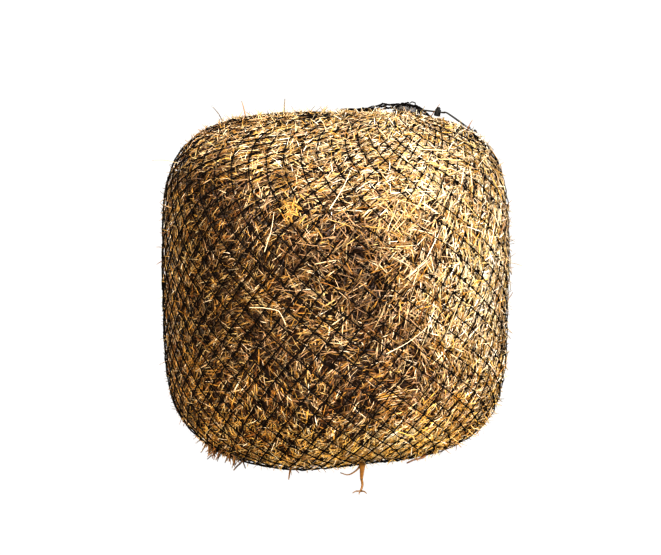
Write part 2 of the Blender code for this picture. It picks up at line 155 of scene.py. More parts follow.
def linear(colour):
    """An sRGB colour of 0 to 255 as linear RGBA."""
    channels = [c / 255 for c in colour]
    return (*[c / 12.92 if c <= 0.04045 else ((c + 0.055) / 1.055) ** 2.4 for c in channels], 1.0)


# ---- the bale's surface

def lower_power(angle):
    tuck = ((1 + np.cos(angle - TUCK_ANGLE)) / 2) ** TUCK_NARROWNESS
    return LOWER_ROUNDNESS - LOWER_LEAN * np.cos(angle) - TUCK * tuck


def rim_turn(angle):
    drop = (WAIST_HEIGHT - FOOT_HEIGHT) / LOWER_DEPTH
    return np.arccos(drop ** (lower_power(angle) / 2))


def ring_point(radius, angle, height):
    return np.stack([radius * np.cos(angle), radius * np.sin(angle), height + 0 * radius], axis=-1)


def foot_point(share, angle):
    """The flat foot: 0 at the closing ring, 1 at its rim."""
    rim = BALE_RADIUS * np.sin(rim_turn(angle)) ** (2 / lower_power(angle))
    return ring_point(CLOSING_RING + (rim - CLOSING_RING) * share, angle, FOOT_HEIGHT)


def settled(rise, y):
    """The height of a place on the upper curve, which has slumped towards the front and the back."""
    return WAIST_HEIGHT + UPPER_HEIGHT * rise - SETTLE * ((y - SETTLE_CREST) * rise) ** 2


def unsettled(points):
    """The rise on the upper curve of points above the widest ring, and how it changes with Z."""
    slump = np.maximum(SETTLE * (points[..., 1] - SETTLE_CREST) ** 2, 1e-7)
    above = np.maximum(points[..., 2] - WAIST_HEIGHT, 0)
    root = np.sqrt(np.maximum(UPPER_HEIGHT ** 2 - 4 * slump * above, 1e-4))
    return (UPPER_HEIGHT - root) / (2 * slump), 1 / root


def flank_point(share, angle):
    share, angle = np.broadcast_arrays(np.asarray(share, float), np.asarray(angle, float))
    low = np.minimum(share, 0)
    start = rim_turn(angle)
    power = 2 / lower_power(angle)
    turn = start + (low + 1) * (math.pi / 2 - start)
    low_radius = np.sin(turn) ** power
    low_height = WAIST_HEIGHT - LOWER_DEPTH * np.maximum(np.cos(turn), 0) ** power
    turn = math.pi / 2 - np.maximum(share, 0) * (math.pi / 2 - SHOULDER_TURN)
    high_radius = np.sin(turn) ** (2 / UPPER_ROUNDNESS)
    rise = np.maximum(np.cos(turn), 0) ** (2 / UPPER_ROUNDNESS)
    high_height = settled(rise, BALE_RADIUS * high_radius * np.sin(angle))
    radius = BALE_RADIUS * np.where(share <= 0, low_radius, high_radius)
    return ring_point(radius, angle, np.where(share <= 0, low_height, high_height))


def crown_height(x, y):
    ratio = np.minimum(np.hypot(x, y) / BALE_RADIUS, 0.9999)
    return settled((1 - ratio ** UPPER_ROUNDNESS) ** (1 / UPPER_ROUNDNESS), y)


SHOULDER_RADIUS = BALE_RADIUS * math.sin(SHOULDER_TURN) ** (2 / UPPER_ROUNDNESS)
HOLE_SHARE = MOUTH_HOLE / SHOULDER_RADIUS


def crown_point(share, angle):
    share, angle = np.broadcast_arrays(np.asarray(share, float), np.asarray(angle, float))
    way = np.minimum((1 - share) / (1 - HOLE_SHARE), 1.0) ** MOUTH_SHIFT_POWER
    x = MOUTH[0] * way + SHOULDER_RADIUS * share * np.cos(angle)
    y = MOUTH[1] * way + SHOULDER_RADIUS * share * np.sin(angle)
    return np.stack([x, y, crown_height(x, y)], axis=-1)


def surface_normal(points):
    """The way out of the bale near its surface."""
    radius = np.hypot(points[..., 0], points[..., 1])
    drop = points[..., 2] - WAIST_HEIGHT
    angle = np.arctan2(points[..., 1], points[..., 0])
    upper = drop >= 0
    rise, by_height = unsettled(points)
    power = np.where(upper, UPPER_ROUNDNESS, lower_power(angle))
    level = np.where(upper, rise, np.abs(drop) / LOWER_DEPTH)
    side = (np.minimum(radius / BALE_RADIUS, 1.2) ** (power - 1)) / BALE_RADIUS
    up = np.minimum(level, 1.2) ** (power - 1) * np.where(upper, by_height, -1 / LOWER_DEPTH)
    lean = np.where(upper, up * 2 * SETTLE * (points[..., 1] - SETTLE_CREST) * rise ** 2, 0)
    radial = points[..., :2] / np.maximum(radius, 1e-9)[..., None] * side[..., None]
    return unit(np.stack([radial[..., 0], radial[..., 1] + lean, up], axis=-1))


def to_surface(points):
    """Points near the bale moved onto its skin."""
    drop = points[..., 2] - WAIST_HEIGHT
    upper = drop >= 0
    angle = np.arctan2(points[..., 1], points[..., 0])
    power = np.where(upper, UPPER_ROUNDNESS, lower_power(angle))
    rise = unsettled(points)[0]
    height = np.where(upper, rise, np.abs(drop) / LOWER_DEPTH)
    radius = np.hypot(points[..., 0], points[..., 1]) / BALE_RADIUS
    scale = np.maximum(radius ** power + height ** power, 1e-6) ** (-1 / power)
    x, y = points[..., 0] * scale, points[..., 1] * scale
    z = np.where(upper, settled(height * scale, y), WAIST_HEIGHT - LOWER_DEPTH * height * scale)
    return np.stack([x, y, np.maximum(z, FOOT_HEIGHT)], axis=-1)


FOOT_STEPS, FLANK_STEPS, CROWN_STEPS, AROUND = 24, 116, 90, 240
ANGLES = np.arange(AROUND) * 2 * math.pi / AROUND


def even_rings(surface, shares, steps):
    """Rings between the first and last share, evenly spaced along each meridian."""
    fine = surface(shares[:, None], ANGLES[None, :])
    lengths = np.concatenate([np.zeros((1, AROUND)),
                              np.cumsum(np.linalg.norm(np.diff(fine, axis=0), axis=-1), axis=0)])
    rings = np.zeros((steps + 1, AROUND, 4))
    for a in range(AROUND):
        wanted = np.linspace(0, lengths[-1, a], steps + 1)
        for axis in range(3):
            rings[:, a, axis] = np.interp(wanted, lengths[:, a], fine[:, a, axis])
        rings[:, a, 3] = np.interp(wanted, lengths[:, a], shares)
    return rings


def surface_grid():
    """Points (rings, around, 3) from the closing ring under the foot to the mouth, and ring radii."""
    foot = even_rings(foot_point, np.linspace(0, 1, 60), FOOT_STEPS)
    flank = even_rings(flank_point, np.linspace(-1, 1, 700), FLANK_STEPS)
    crown = even_rings(crown_point, np.linspace(1, HOLE_SHARE, 400), CROWN_STEPS)
    points = np.concatenate([foot[:-1, :, :3], flank[:-1, :, :3], crown[:, :, :3]])
    radii = np.concatenate([np.hypot(foot[:-1, :, 0], foot[:-1, :, 1]),
                            np.hypot(flank[:-1, :, 0], flank[:-1, :, 1]),
                            SHOULDER_RADIUS * crown[:, :, 3]])
    return points, radii


GRID, RING_RADII = surface_grid()
RINGS = len(GRID)
SHOULDER_RING = FOOT_STEPS + FLANK_STEPS
STEP_LENGTHS = np.linalg.norm(np.diff(GRID, axis=0), axis=-1)
ARC = np.concatenate([np.zeros((1, AROUND)), np.cumsum(STEP_LENGTHS, axis=0)])
ARC = ARC - ARC[FOOT_STEPS]


def lattice_rows():
    """How many rows of meshes lie below each grid point, counted from the foot's rim."""
    middle = (RING_RADII[1:] + RING_RADII[:-1]) / 2
    step = np.sqrt(BAR ** 2 - (math.pi * np.minimum(middle, BALE_RADIUS) / COLUMNS) ** 2)
    rows = np.concatenate([np.zeros((1, AROUND)), np.cumsum(STEP_LENGTHS / step, axis=0)])
    rows = rows - rows[FOOT_STEPS]
    ring = np.arange(RINGS)[:, None]
    fade = smoothstep(FOOT_STEPS, FOOT_STEPS + 30, ring)
    fade = fade * (1 - smoothstep(SHOULDER_RING, RINGS - 1, ring))
    return rows - ROW_WAVE * np.cos(ANGLES)[None, :] * fade / ROW_STEP


ROWS = lattice_rows()
TWIST = COLUMN_TWIST * np.clip(GRID[:, 0, 2] - FOOT_HEIGHT, 0, None)
TWIST[SHOULDER_RING:] = TWIST[SHOULDER_RING]


def sample(table, ring, angle):
    """A table over the grid at fractional rings and angles, bilinear."""
    ring = np.clip(ring, 0, RINGS - 1.000001)
    around = np.mod(angle / (2 * math.pi), 1.0) * AROUND
    i, k = np.floor(ring).astype(int), np.floor(around).astype(int) % AROUND
    f, g = ring - i, around - np.floor(around)
    if table.ndim == 3:
        f, g = f[..., None], g[..., None]
    k2 = (k + 1) % AROUND
    low = table[i, k] * (1 - g) + table[i, k2] * g
    high = table[i + 1, k] * (1 - g) + table[i + 1, k2] * g
    return low * (1 - f) + high * f


def column_angle(column, ring):
    return 2 * math.pi * column / COLUMNS + np.interp(ring, np.arange(RINGS), TWIST)


def lattice_place(column, row):
    """The ring and angle of a place given in columns and rows of meshes."""
    low, high = np.zeros(column.shape), np.full(column.shape, RINGS - 1.0)
    for _ in range(24):
        ring = (low + high) / 2
        under = sample(ROWS, ring, column_angle(column, ring)) < row
        low, high = np.where(under, ring, low), np.where(under, high, ring)
    ring = (low + high) / 2
    return ring, column_angle(column, ring)


def grid_tree():
    """A search tree that finds the grid point nearest to a place."""
    tree = KDTree(RINGS * AROUND)
    for index, point in enumerate(GRID.reshape(-1, 3)):
        tree.insert(point, index)
    tree.balance()
    return tree


SURFACE_TREE = grid_tree()
COLUMN_FIELD = (ANGLES[None, :] - TWIST[:, None]) * COLUMNS / (2 * math.pi)
ALONG = np.gradient(GRID, axis=0)
ACROSS = (np.roll(GRID, -1, axis=1) - np.roll(GRID, 1, axis=1)) / 2
ROWS_ALONG = np.gradient(ROWS, axis=0)
ROWS_ACROSS = (np.roll(ROWS, -1, axis=1) - np.roll(ROWS, 1, axis=1)) / 2
COLUMN_ALONG = -np.gradient(TWIST)[:, None] * COLUMNS / (2 * math.pi) + 0 * ROWS
COLUMN_ACROSS = COLUMNS / AROUND + 0 * ROWS


def lattice_distance(points):
    """How far points are from the nearest line of each twine family, in bars: two arrays, 0 to 0.5."""
    flat = points.reshape(-1, 3)
    nearest = np.fromiter((SURFACE_TREE.find(p)[1] for p in flat), int, len(flat))
    away = flat - GRID.reshape(-1, 3)[nearest]
    along, across = ALONG.reshape(-1, 3)[nearest], ACROSS.reshape(-1, 3)[nearest]
    part_i = (away * along).sum(-1) / np.maximum((along * along).sum(-1), 1e-9)
    part_k = (away * across).sum(-1) / np.maximum((across * across).sum(-1), 1e-9)

    def value(table, by_ring, by_angle):
        return (table.reshape(-1)[nearest] + by_ring.reshape(-1)[nearest] * part_i
                + by_angle.reshape(-1)[nearest] * part_k)

    column = value(COLUMN_FIELD, COLUMN_ALONG, COLUMN_ACROSS)
    row = value(ROWS, ROWS_ALONG, ROWS_ACROSS)
    rising, falling = column - row / 2, column + row / 2
    return (np.abs(rising - np.round(rising)).reshape(points.shape[:-1]),
            np.abs(falling - np.round(falling)).reshape(points.shape[:-1]))


# ---- mesh making

class Block:
    """Faces to be put in one mesh: vertices, loops, face sizes and a UV for every loop."""

    def __init__(self, verts, loops, totals, uvs):
        self.verts, self.loops, self.totals, self.uvs = verts, loops, totals, uvs


def strands(paths, radii, sides, out=None, flat=1.0, roll=0.0, along=None, row=0.0, row_height=1.0,
            frames=None):
    """Closed tubes along many paths (n, m, 3). flat squashes the section, along and row give the UV."""
    count, steps = paths.shape[:2]
    tangent = unit(np.gradient(paths, axis=1))
    side = unit(np.cross(tangent, out)) if frames is None else frames
    up = np.cross(tangent, side)
    radii = np.broadcast_to(np.asarray(radii, float), (count, steps))
    flat = np.broadcast_to(np.asarray(flat, float).reshape(-1, 1), (count, 1))
    roll = np.broadcast_to(np.asarray(roll, float), (count, steps))
    cos_roll, sin_roll = np.cos(roll)[..., None], np.sin(roll)[..., None]
    wide = side * cos_roll + up * sin_roll
    thin = up * cos_roll - side * sin_roll
    turns = np.arange(sides) * 2 * math.pi / sides
    ring = (wide[:, :, None] * np.cos(turns)[:, None]
            + thin[:, :, None] * (np.sin(turns)[:, None] * flat[:, :, None, None]))
    verts = paths[:, :, None] + ring * radii[:, :, None, None]
    index = np.arange(count * steps * sides).reshape(count, steps, sides)
    after = np.roll(index, -1, axis=2)
    quads = np.stack([index[:, :-1], after[:, :-1], after[:, 1:], index[:, 1:]], axis=-1)
    if along is None:
        along = np.linspace(0, 1, steps)[None]
    along = np.broadcast_to(along, (count, steps))
    row = np.broadcast_to(np.asarray(row, float).reshape(-1, 1), (count, 1))
    near = row[:, :, None] + row_height * np.arange(sides) / sides + 0 * along[:, :, None]
    far = near + row_height / sides
    u = along[:, :, None] + 0 * near
    quad_u = np.stack([u[:, :-1], u[:, :-1], u[:, 1:], u[:, 1:]], axis=-1)
    quad_v = np.stack([near[:, :-1], far[:, :-1], far[:, 1:], near[:, 1:]], axis=-1)
    start, end = index[:, 0, ::-1], index[:, -1]
    cap_u = np.concatenate([u[:, 0, ::-1].ravel(), u[:, -1].ravel()])
    cap_v = np.concatenate([near[:, 0, ::-1].ravel(), near[:, -1].ravel()])
    loops = np.concatenate([quads.ravel(), start.ravel(), end.ravel()])
    totals = np.concatenate([np.full(quads.size // 4, 4), np.full(2 * count, sides)])
    uvs = np.stack([np.concatenate([quad_u.ravel(), cap_u]), np.concatenate([quad_v.ravel(), cap_v])], -1)
    return Block(verts.reshape(-1, 3), loops, totals, uvs)


def carried_frames(path):
    """Side vectors along one path that turn no more than they must."""
    tangent = unit(np.gradient(path, axis=0))
    start = np.cross(tangent[0], (0.1, 0.2, 1.0))
    sides = [start / np.linalg.norm(start)]
    for t in tangent[1:]:
        side = sides[-1] - t * (sides[-1] @ t)
        sides.append(side / np.linalg.norm(side))
    return np.array(sides)


def rope(path, radius, sides=8, turns_per_metre=1.0):
    """One long tube; its UV runs once round for v, and once per stretch of its length for u."""
    path = np.asarray(path, float)
    lengths = np.concatenate([[0], np.cumsum(np.linalg.norm(np.diff(path, axis=0), axis=1))])
    return strands(path[None], radius, sides, frames=carried_frames(path)[None],
                   along=(lengths * turns_per_metre)[None])


LUMP_SEGMENTS, LUMP_RINGS = 6, 4


def lumps(centres, axes):
    """Small closed knots: centres (n, 3) and three half axes each, (n, 3, 3)."""
    turns = np.arange(LUMP_SEGMENTS) * 2 * math.pi / LUMP_SEGMENTS
    heights = np.cos(np.arange(1, LUMP_RINGS) * math.pi / LUMP_RINGS)
    widths = np.sqrt(1 - heights ** 2)
    template = [(0, 0, 1)]
    for height, width in zip(heights, widths):
        template += [(width * math.cos(t), width * math.sin(t), height) for t in turns]
    template.append((0, 0, -1))
    template = np.array(template)
    faces = []
    for k in range(LUMP_SEGMENTS):
        n = (k + 1) % LUMP_SEGMENTS
        faces.append((0, 1 + k, 1 + n))
        for r in range(LUMP_RINGS - 2):
            a, b = 1 + r * LUMP_SEGMENTS, 1 + (r + 1) * LUMP_SEGMENTS
            faces.append((a + k, b + k, b + n, a + n))
        a, last = 1 + (LUMP_RINGS - 2) * LUMP_SEGMENTS, len(template) - 1
        faces.append((a + k, last, a + n))
    verts = centres[:, None] + np.einsum("vk,nkc->nvc", template, axes)
    base = np.arange(len(centres))[:, None] * len(template)
    flat_faces = np.concatenate([np.array(f) for f in faces])
    loops = (base + flat_faces[None]).ravel()
    totals = np.tile([len(f) for f in faces], len(centres))
    uv = np.stack([template[:, 2] * 0.05 + 0.5, np.abs(template[:, 0]) * 0.4 + 0.3], -1)
    uvs = np.tile(uv[flat_faces], (len(centres), 1))
    return Block(verts.reshape(-1, 3), loops, totals, uvs)


BAKE_MAP = "OFBake"


def piece(name, blocks, material, replaced=(), body=ROOT):
    """One mesh of all the blocks, which rides on a body and stands for CAD nodes."""
    offset, verts, loops, totals, uvs = 0, [], [], [], []
    for block in blocks:
        verts.append(block.verts)
        loops.append(block.loops + offset)
        totals.append(block.totals)
        uvs.append(block.uvs)
        offset += len(block.verts)
    verts, loops = np.concatenate(verts), np.concatenate(loops)
    totals, uvs = np.concatenate(totals), np.concatenate(uvs)
    mesh = bpy.data.meshes.new(name)
    mesh.vertices.add(len(verts))
    mesh.vertices.foreach_set("co", verts.astype(np.float32).ravel())
    mesh.loops.add(len(loops))
    mesh.loops.foreach_set("vertex_index", loops.astype(np.int32))
    mesh.polygons.add(len(totals))
    starts = np.concatenate([[0], np.cumsum(totals)[:-1]])
    mesh.polygons.foreach_set("loop_start", starts.astype(np.int32))
    mesh.update(calc_edges=True)
    layer = mesh.uv_layers.new(name=BAKE_MAP)
    layer.data.foreach_set("uv", uvs.astype(np.float32).ravel())
    mesh.polygons.foreach_set("use_smooth", np.ones(len(totals), bool))
    mesh.materials.append(material)
    obj = bpy.data.objects.new(name, mesh)
    bpy.context.scene.collection.objects.link(obj)
    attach(obj, body)
    if replaced:
        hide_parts(*replaced)
    return obj


# ---- materials

class Nodes:
    """Short ways to add nodes to one material."""

    def __init__(self, name):
        self.material = bpy.data.materials.new(name)
        self.material.use_nodes = True
        self.tree = self.material.node_tree
        self.shader = self.tree.nodes["Principled BSDF"]

    def add(self, kind, inputs=None, **settings):
        node = self.tree.nodes.new(kind)
        for key, value in settings.items():
            setattr(node, key, value)
        for key, value in (inputs or {}).items():
            self.put(node.inputs[key], value)
        return node

    def put(self, socket, value):
        if isinstance(value, bpy.types.NodeSocket):
            self.tree.links.new(value, socket)
        else:
            socket.default_value = value

    def uv(self):
        return self.add("ShaderNodeUVMap", uv_map=BAKE_MAP).outputs["UV"]

    def math(self, operation, a, b=0.0):
        return self.add("ShaderNodeMath", {0: a, 1: b}, operation=operation).outputs[0]

    def remap(self, value, low, high, to_low, to_high):
        return self.add("ShaderNodeMapRange", {"Value": value, "From Min": low, "From Max": high,
                                               "To Min": to_low, "To Max": to_high}).outputs["Result"]

    def noise(self, vector, scale, detail=2.0, roughness=0.5):
        return self.add("ShaderNodeTexNoise", {"Vector": vector, "Scale": scale, "Detail": detail,
                                               "Roughness": roughness}).outputs["Fac"]

    def stretched(self, vector, x, y, z=1.0):
        node = self.add("ShaderNodeMapping", {"Vector": vector, "Scale": (x, y, z)})
        return node.outputs["Vector"]

    def ramp(self, value, stops):
        node = self.add("ShaderNodeValToRGB", {"Fac": value})
        elements = node.color_ramp.elements
        while len(elements) < len(stops):
            elements.new(0.5)
        for element, (place, colour) in zip(elements, stops):
            element.position = place
            element.color = colour
        return node.outputs["Color"]

    def scaled(self, colour, factor):
        """A colour times a value."""
        return self.add("ShaderNodeVectorMath", {0: colour, "Scale": factor},
                        operation="SCALE").outputs["Vector"]

    def bump(self, height, distance, strength=1.0):
        node = self.add("ShaderNodeBump", {"Height": height, "Distance": distance,
                                           "Strength": strength})
        self.put(self.shader.inputs["Normal"], node.outputs["Normal"])

    def finish(self, colour, roughness, **constants):
        self.put(self.shader.inputs["Base Color"], colour)
        self.put(self.shader.inputs["Roughness"], roughness)
        for key, value in constants.items():
            self.put(self.shader.inputs[key.replace("_", " ")], value)
        return self.material


# the families of straw colour, each from its darkest to its palest
GOLDEN, ORANGE, OLIVE, CREAM = range(4)
TONES = {
    GOLDEN: ((36, 17, 3), (118, 81, 30), (178, 144, 80), (222, 201, 146)),
    ORANGE: ((38, 16, 2), (128, 79, 22), (186, 139, 56), (234, 194, 104)),
    OLIVE: ((30, 20, 9), (100, 79, 50), (162, 141, 104), (216, 202, 168)),
    CREAM: ((78, 53, 33), (166, 133, 97), (218, 195, 160), (248, 240, 222)),
}
TONE_STOPS = (0.008, 0.085, 0.165, 0.242)
LEVELS = 16


def straw_material():
    """Colour by the UV's row: four families of sixteen levels, with fibres along the stalk."""
    n = Nodes("straw")
    uv = n.uv()
    split = n.add("ShaderNodeSeparateXYZ", {0: uv})
    stops = [(family / 4 + place, linear(colour)) for family, colours in TONES.items()
             for place, colour in zip(TONE_STOPS, colours)]
    base = n.ramp(split.outputs["Y"], stops)
    fibre = n.noise(n.stretched(uv, 7.0, 900.0), 1.0, 3.0)
    patch = n.noise(n.stretched(uv, 16.0, 60.0), 1.0, 2.0)
    shade = n.math("MULTIPLY", n.remap(fibre, 0.3, 0.7, 0.78, 1.14), n.remap(patch, 0.3, 0.7, 0.80, 1.14))
    n.bump(fibre, 0.0005, 0.5)
    return n.finish(n.scaled(base, shade), n.remap(patch, 0.3, 0.7, 0.62, 0.40), Specular_IOR_Level=0.45)


def core_shade_material():
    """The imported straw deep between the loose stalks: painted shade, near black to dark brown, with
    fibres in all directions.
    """
    n = Nodes("packed_straw_painted_shade")
    uv = n.uv()
    first = n.noise(n.stretched(uv, 90.0, 620.0), 1.0, 3.0)
    second = n.noise(n.stretched(uv, 700.0, 80.0), 1.0, 3.0)
    where = n.noise(n.stretched(uv, 60.0, 60.0), 1.0, 1.0)
    chosen = n.add("ShaderNodeMix", {0: n.remap(where, 0.42, 0.58, 0.0, 1.0), 2: first, 3: second},
                   data_type="FLOAT").outputs[0]
    # painted shade: near black to dark brown, standing for the shade deep between the stalks
    colour = n.ramp(chosen, [(0.30, linear((8, 3, 1))), (0.50, linear((26, 12, 4))),
                             (0.62, linear((60, 36, 15))), (0.74, linear((112, 80, 42)))])
    n.bump(chosen, 0.003, 0.8)
    return n.finish(colour, 0.85, Specular_IOR_Level=0.2)


def twine_material():
    """Black knotted netting twine, with its lay as a fine slanting bump."""
    n = Nodes("twine")
    uv = n.uv()
    split = n.add("ShaderNodeSeparateXYZ", {0: uv})
    lay = n.math("ADD", n.math("MULTIPLY", split.outputs["X"], 60.0),
                 n.math("MULTIPLY", split.outputs["Y"], 12.566))
    wave = n.math("SINE", lay)
    fuzz = n.noise(n.stretched(uv, 40.0, 6.0), 1.0, 2.0)
    colour = n.ramp(fuzz, [(0.3, linear((5, 3, 2))), (0.7, linear((14, 9, 7)))])
    n.bump(wave, 0.0004, 0.5)
    return n.finish(colour, 0.8, Specular_IOR_Level=0.08)


def braid_material(name, dark, pale):
    """Braided cord: two slanting waves of strands over each other."""
    n = Nodes(name)
    uv = n.uv()
    split = n.add("ShaderNodeSeparateXYZ", {0: uv})
    along = n.math("MULTIPLY", split.outputs["X"], 6.2832)
    across = n.math("MULTIPLY", split.outputs["Y"], 37.699)
    left = n.math("SINE", n.math("ADD", along, across))
    right = n.math("SINE", n.math("SUBTRACT", along, across))
    weave = n.math("MAXIMUM", left, right)
    colour = n.ramp(n.remap(weave, -1.0, 1.0, 0.0, 1.0), [(0.25, linear(dark)), (0.85, linear(pale))])
    n.bump(weave, 0.0004, 0.8)
    return n.finish(colour, 0.55, Specular_IOR_Level=0.4, Sheen_Weight=0.15)


def lock_material():
    """Moulded black plastic with a fine eroded texture and paler rubbed patches."""
    n = Nodes("lock_plastic")
    place = n.add("ShaderNodeTexCoord").outputs["Object"]
    grain = n.noise(place, 2600.0, 2.0)
    rub = n.noise(place, 160.0, 3.0)
    colour = n.ramp(rub, [(0.35, linear((8, 8, 9))), (0.75, linear((24, 24, 24)))])
    n.bump(grain, 0.00012, 0.6)
    return n.finish(colour, n.remap(rub, 0.3, 0.7, 0.45, 0.62), Specular_IOR_Level=0.2)


def spring_material():
    """Drawn spring wire, with fine streaks and a little tarnish."""
    n = Nodes("spring_wire")
    place = n.add("ShaderNodeTexCoord").outputs["Object"]
    streak = n.noise(n.stretched(place, 4000.0, 4000.0, 300.0), 1.0, 2.0)
    colour = n.ramp(streak, [(0.3, linear((150, 148, 143))), (0.7, linear((212, 211, 206)))])
    return n.finish(colour, n.remap(streak, 0.3, 0.7, 0.25, 0.42), Metallic=1.0)


STRAW = straw_material()
CORE_SHADE = core_shade_material()
NET = twine_material()
BRAID = braid_material("drawcord", (7, 7, 8), (30, 29, 30))
# the wound turns are a paler grey than the black tails of the same cord
GREY_BRAID = braid_material("grey_drawcord", (34, 34, 36), (104, 104, 106))
LOCK_PLASTIC = lock_material()
SPRING_WIRE = spring_material()


# ---- the drawcord's tails, which come first because they are free cords

def crown_normal(x, y):
    step = 0.001
    slope_x = (crown_height(x + step, y) - crown_height(x - step, y)) / (2 * step)
    slope_y = (crown_height(x, y + step) - crown_height(x, y - step)) / (2 * step)
    return unit(np.array((-slope_x, -slope_y, 1.0)))


def above_crown(place, height):
    """A point at a height above the netting that covers the top."""
    surface = np.array((place[0], place[1], crown_height(*place)))
    return surface + crown_normal(*place) * (GAP + TWINE_ROOM + height)


def axes_frame(origin, z_axis, x_hint):
    """Origin and the three axes as rows."""
    z_axis = unit(z_axis)
    x_axis = unit(x_hint - z_axis * (x_hint @ z_axis))
    return origin, np.array((x_axis, np.cross(z_axis, x_axis), z_axis))


def lock_frame():
    height = -HOUSING_BOTTOM + LOCK_CLEARANCE
    origin = above_crown(LOCK, height)
    run = origin - above_crown(MOUTH, height)
    normal, along = crown_normal(*LOCK), unit(run)
    return axes_frame(origin, normal - along * (normal @ along), run)


MOUTH_FRAME = axes_frame(above_crown(MOUTH, 0), crown_normal(*MOUTH), np.array((1.0, 0, 0)))
LOCK_FRAME = lock_frame()


def in_frame(axes, points):
    origin, rows = axes
    return origin + np.asarray(points, float) @ rows


def smooth_route(points, step):
    """Points a step apart on a Catmull-Rom curve through the given points."""
    points = np.asarray(points, float)
    ends = np.concatenate([[2 * points[0] - points[1]], points, [2 * points[-1] - points[-2]]])
    t = (np.arange(24) / 24)[:, None]
    fine = [0.5 * (2 * b + (c - a) * t + (2 * a - 5 * b + 4 * c - d) * t ** 2
                   + (3 * b - a - 3 * c + d) * t ** 3)
            for a, b, c, d in zip(ends, ends[1:], ends[2:], ends[3:])]
    fine = np.concatenate([*fine, points[-1:]])
    lengths = np.concatenate([[0], np.cumsum(np.linalg.norm(np.diff(fine, axis=0), axis=1))])
    count = max(2, round(lengths[-1] / step))
    wanted = np.linspace(0, lengths[-1], count + 1)
    return np.stack([np.interp(wanted, lengths, fine[:, axis]) for axis in range(3)], axis=-1)


def winding_radii():
    inner = NECK_RADIUS + 0.0025
    return inner, inner + CORD * (1 + (WINDING_LAYERS - 1) * math.sqrt(3) / 2)


TAILS = {
    "front": (-CORD_OFFSET, [((0.424, 0.122), 0.0072), ((0.438, 0.098), 0.0032),
                             ((0.446, 0.072), 0.0032), ((0.448, 0.046), 0.0032)], 0.27),
    "back": (CORD_OFFSET, [((0.433, 0.137), 0.0075), ((0.452, 0.122), 0.0032),
                           ((0.470, 0.104), 0.0032)], 0.24),
}
CORD_TURNS = 110.0            # UV lengths of braid to the metre


def overhand_knot(centre, out, along, radius, cord_radius):
    """A pulled-tight overhand knot, as a closed trefoil with a short end standing out of it."""
    t = np.linspace(0, 2 * math.pi, 61)
    trefoil = np.stack([np.sin(t) + 2 * np.sin(2 * t), np.cos(t) - 2 * np.cos(2 * t),
                        -np.sin(3 * t)], axis=-1)
    trefoil = trefoil * np.array((1, 1, 1.3)) * (radius - cord_radius) / 3.0
    _, axes = axes_frame(centre, out, along)
    loop = rope(centre + trefoil @ axes, cord_radius, 8, CORD_TURNS)
    end = np.array([(0.2, 0.1, 0), (0.8, 0.25, 0), (1.25, 0.1, -0.1), (1.7, -0.15, -0.25)]) * radius
    stub = rope(smooth_route(centre + end @ axes, radius / 4), cord_radius * 0.92, 8, CORD_TURNS)
    return [loop, stub]


def drawcord_tails():
    start = winding_radii()[1] + 0.001 - np.linalg.norm(LOCK - MOUTH)
    straight_end = HOUSING_RADIUS + LOCK_TRAVEL + STRAIGHT_SPARE
    along = [start, start / 2, 0.0, straight_end / 2, straight_end - STRAIGHT_SPARE, straight_end]
    for name, (side, ends, length) in TAILS.items():
        points = [in_frame(LOCK_FRAME, (x, side, 0)) for x in along]
        points += [above_crown(place, height) for place, height in ends]
        coarse = smooth_route(points, 0.012)
        path = smooth_route(points, 0.005)
        tip = unit(coarse[-1] - coarse[-2])
        centre = coarse[-1] + tip * (KNOT_RADIUS + GAP)
        out = crown_normal(centre[0], centre[1])
        centre = centre + out * (KNOT_RADIUS - CORD / 2)
        cord = piece(f"drawcord_{name}", [rope(path, CORD / 2, 10, CORD_TURNS)], BRAID,
                     [f"drawcord_tail_{name}"])
        knot = piece(f"drawcord_{name}_knot", overhand_knot(centre, out, tip, KNOT_RADIUS, CORD / 2.3),
                     BRAID, [f"tail_knot_{name}"])


drawcord_tails()


# ---- the drawcord wound round the neck

def drawcord_winding():
    """Sixteen turns in four layers, each laid in the grooves of the one under it."""
    inner = winding_radii()[0] + CORD / 2
    per_turn = 48
    points = []
    for layer in range(WINDING_LAYERS):
        radius = inner + layer * CORD * math.sqrt(3) / 2
        for k in range(WINDING_ROWS * per_turn):
            turn = k / per_turn
            climb = turn / WINDING_ROWS * (WINDING_ROWS - 1) * CORD + CORD / 2
            height = climb if layer % 2 == 0 else (WINDING_ROWS - 1) * CORD + CORD - climb
            angle = 2 * math.pi * (turn + layer * WINDING_ROWS)
            jitter = 0.0005 * math.sin(3 * angle + layer * 2.1 + turn)
            points.append(((radius + jitter) * math.cos(angle), (radius + jitter) * math.sin(angle),
                           height + 2 * GAP + 0.0004 * math.sin(2 * angle + layer)))
    path = in_frame(MOUTH_FRAME, points)
    piece("drawcord_turns", [rope(path, CORD / 2 * 0.99, 8, CORD_TURNS)], GREY_BRAID,
          ["drawcord_winding"])


drawcord_winding()


# ---- the netting

CLUMP_CENTRE = np.array((0.10, -0.59, 0.78))


def front_clump(points):
    """1 in the middle of the front, where the straw has worked out over the netting, and 0 away."""
    away = (points - CLUMP_CENTRE) / np.array((0.25, 0.30, 0.24))
    wobble = 0.25 * noise(points, 7.0, 5)
    return 1 - smoothstep(0.55, 1.15, np.linalg.norm(away, axis=-1) + wobble)


def right_side(points):
    """1 on the right, where the rising lines of the netting are sunk in the straw."""
    lean = points[..., 0] * 0.9 - points[..., 1] * 0.35
    return smoothstep(0.22, 0.42, lean + 0.05 * noise(points, 5.0, 9))


def top_side(points):
    """1 on the top, where straw stands up between the meshes."""
    return smoothstep(0.45, 0.90, surface_normal(points)[..., 2])


def near_mouth(points):
    away = np.hypot(points[..., 0] - MOUTH[0], points[..., 1] - MOUTH[1])
    return (1 - smoothstep(0.07, 0.36, away)) * (points[..., 2] > WAIST_HEIGHT)


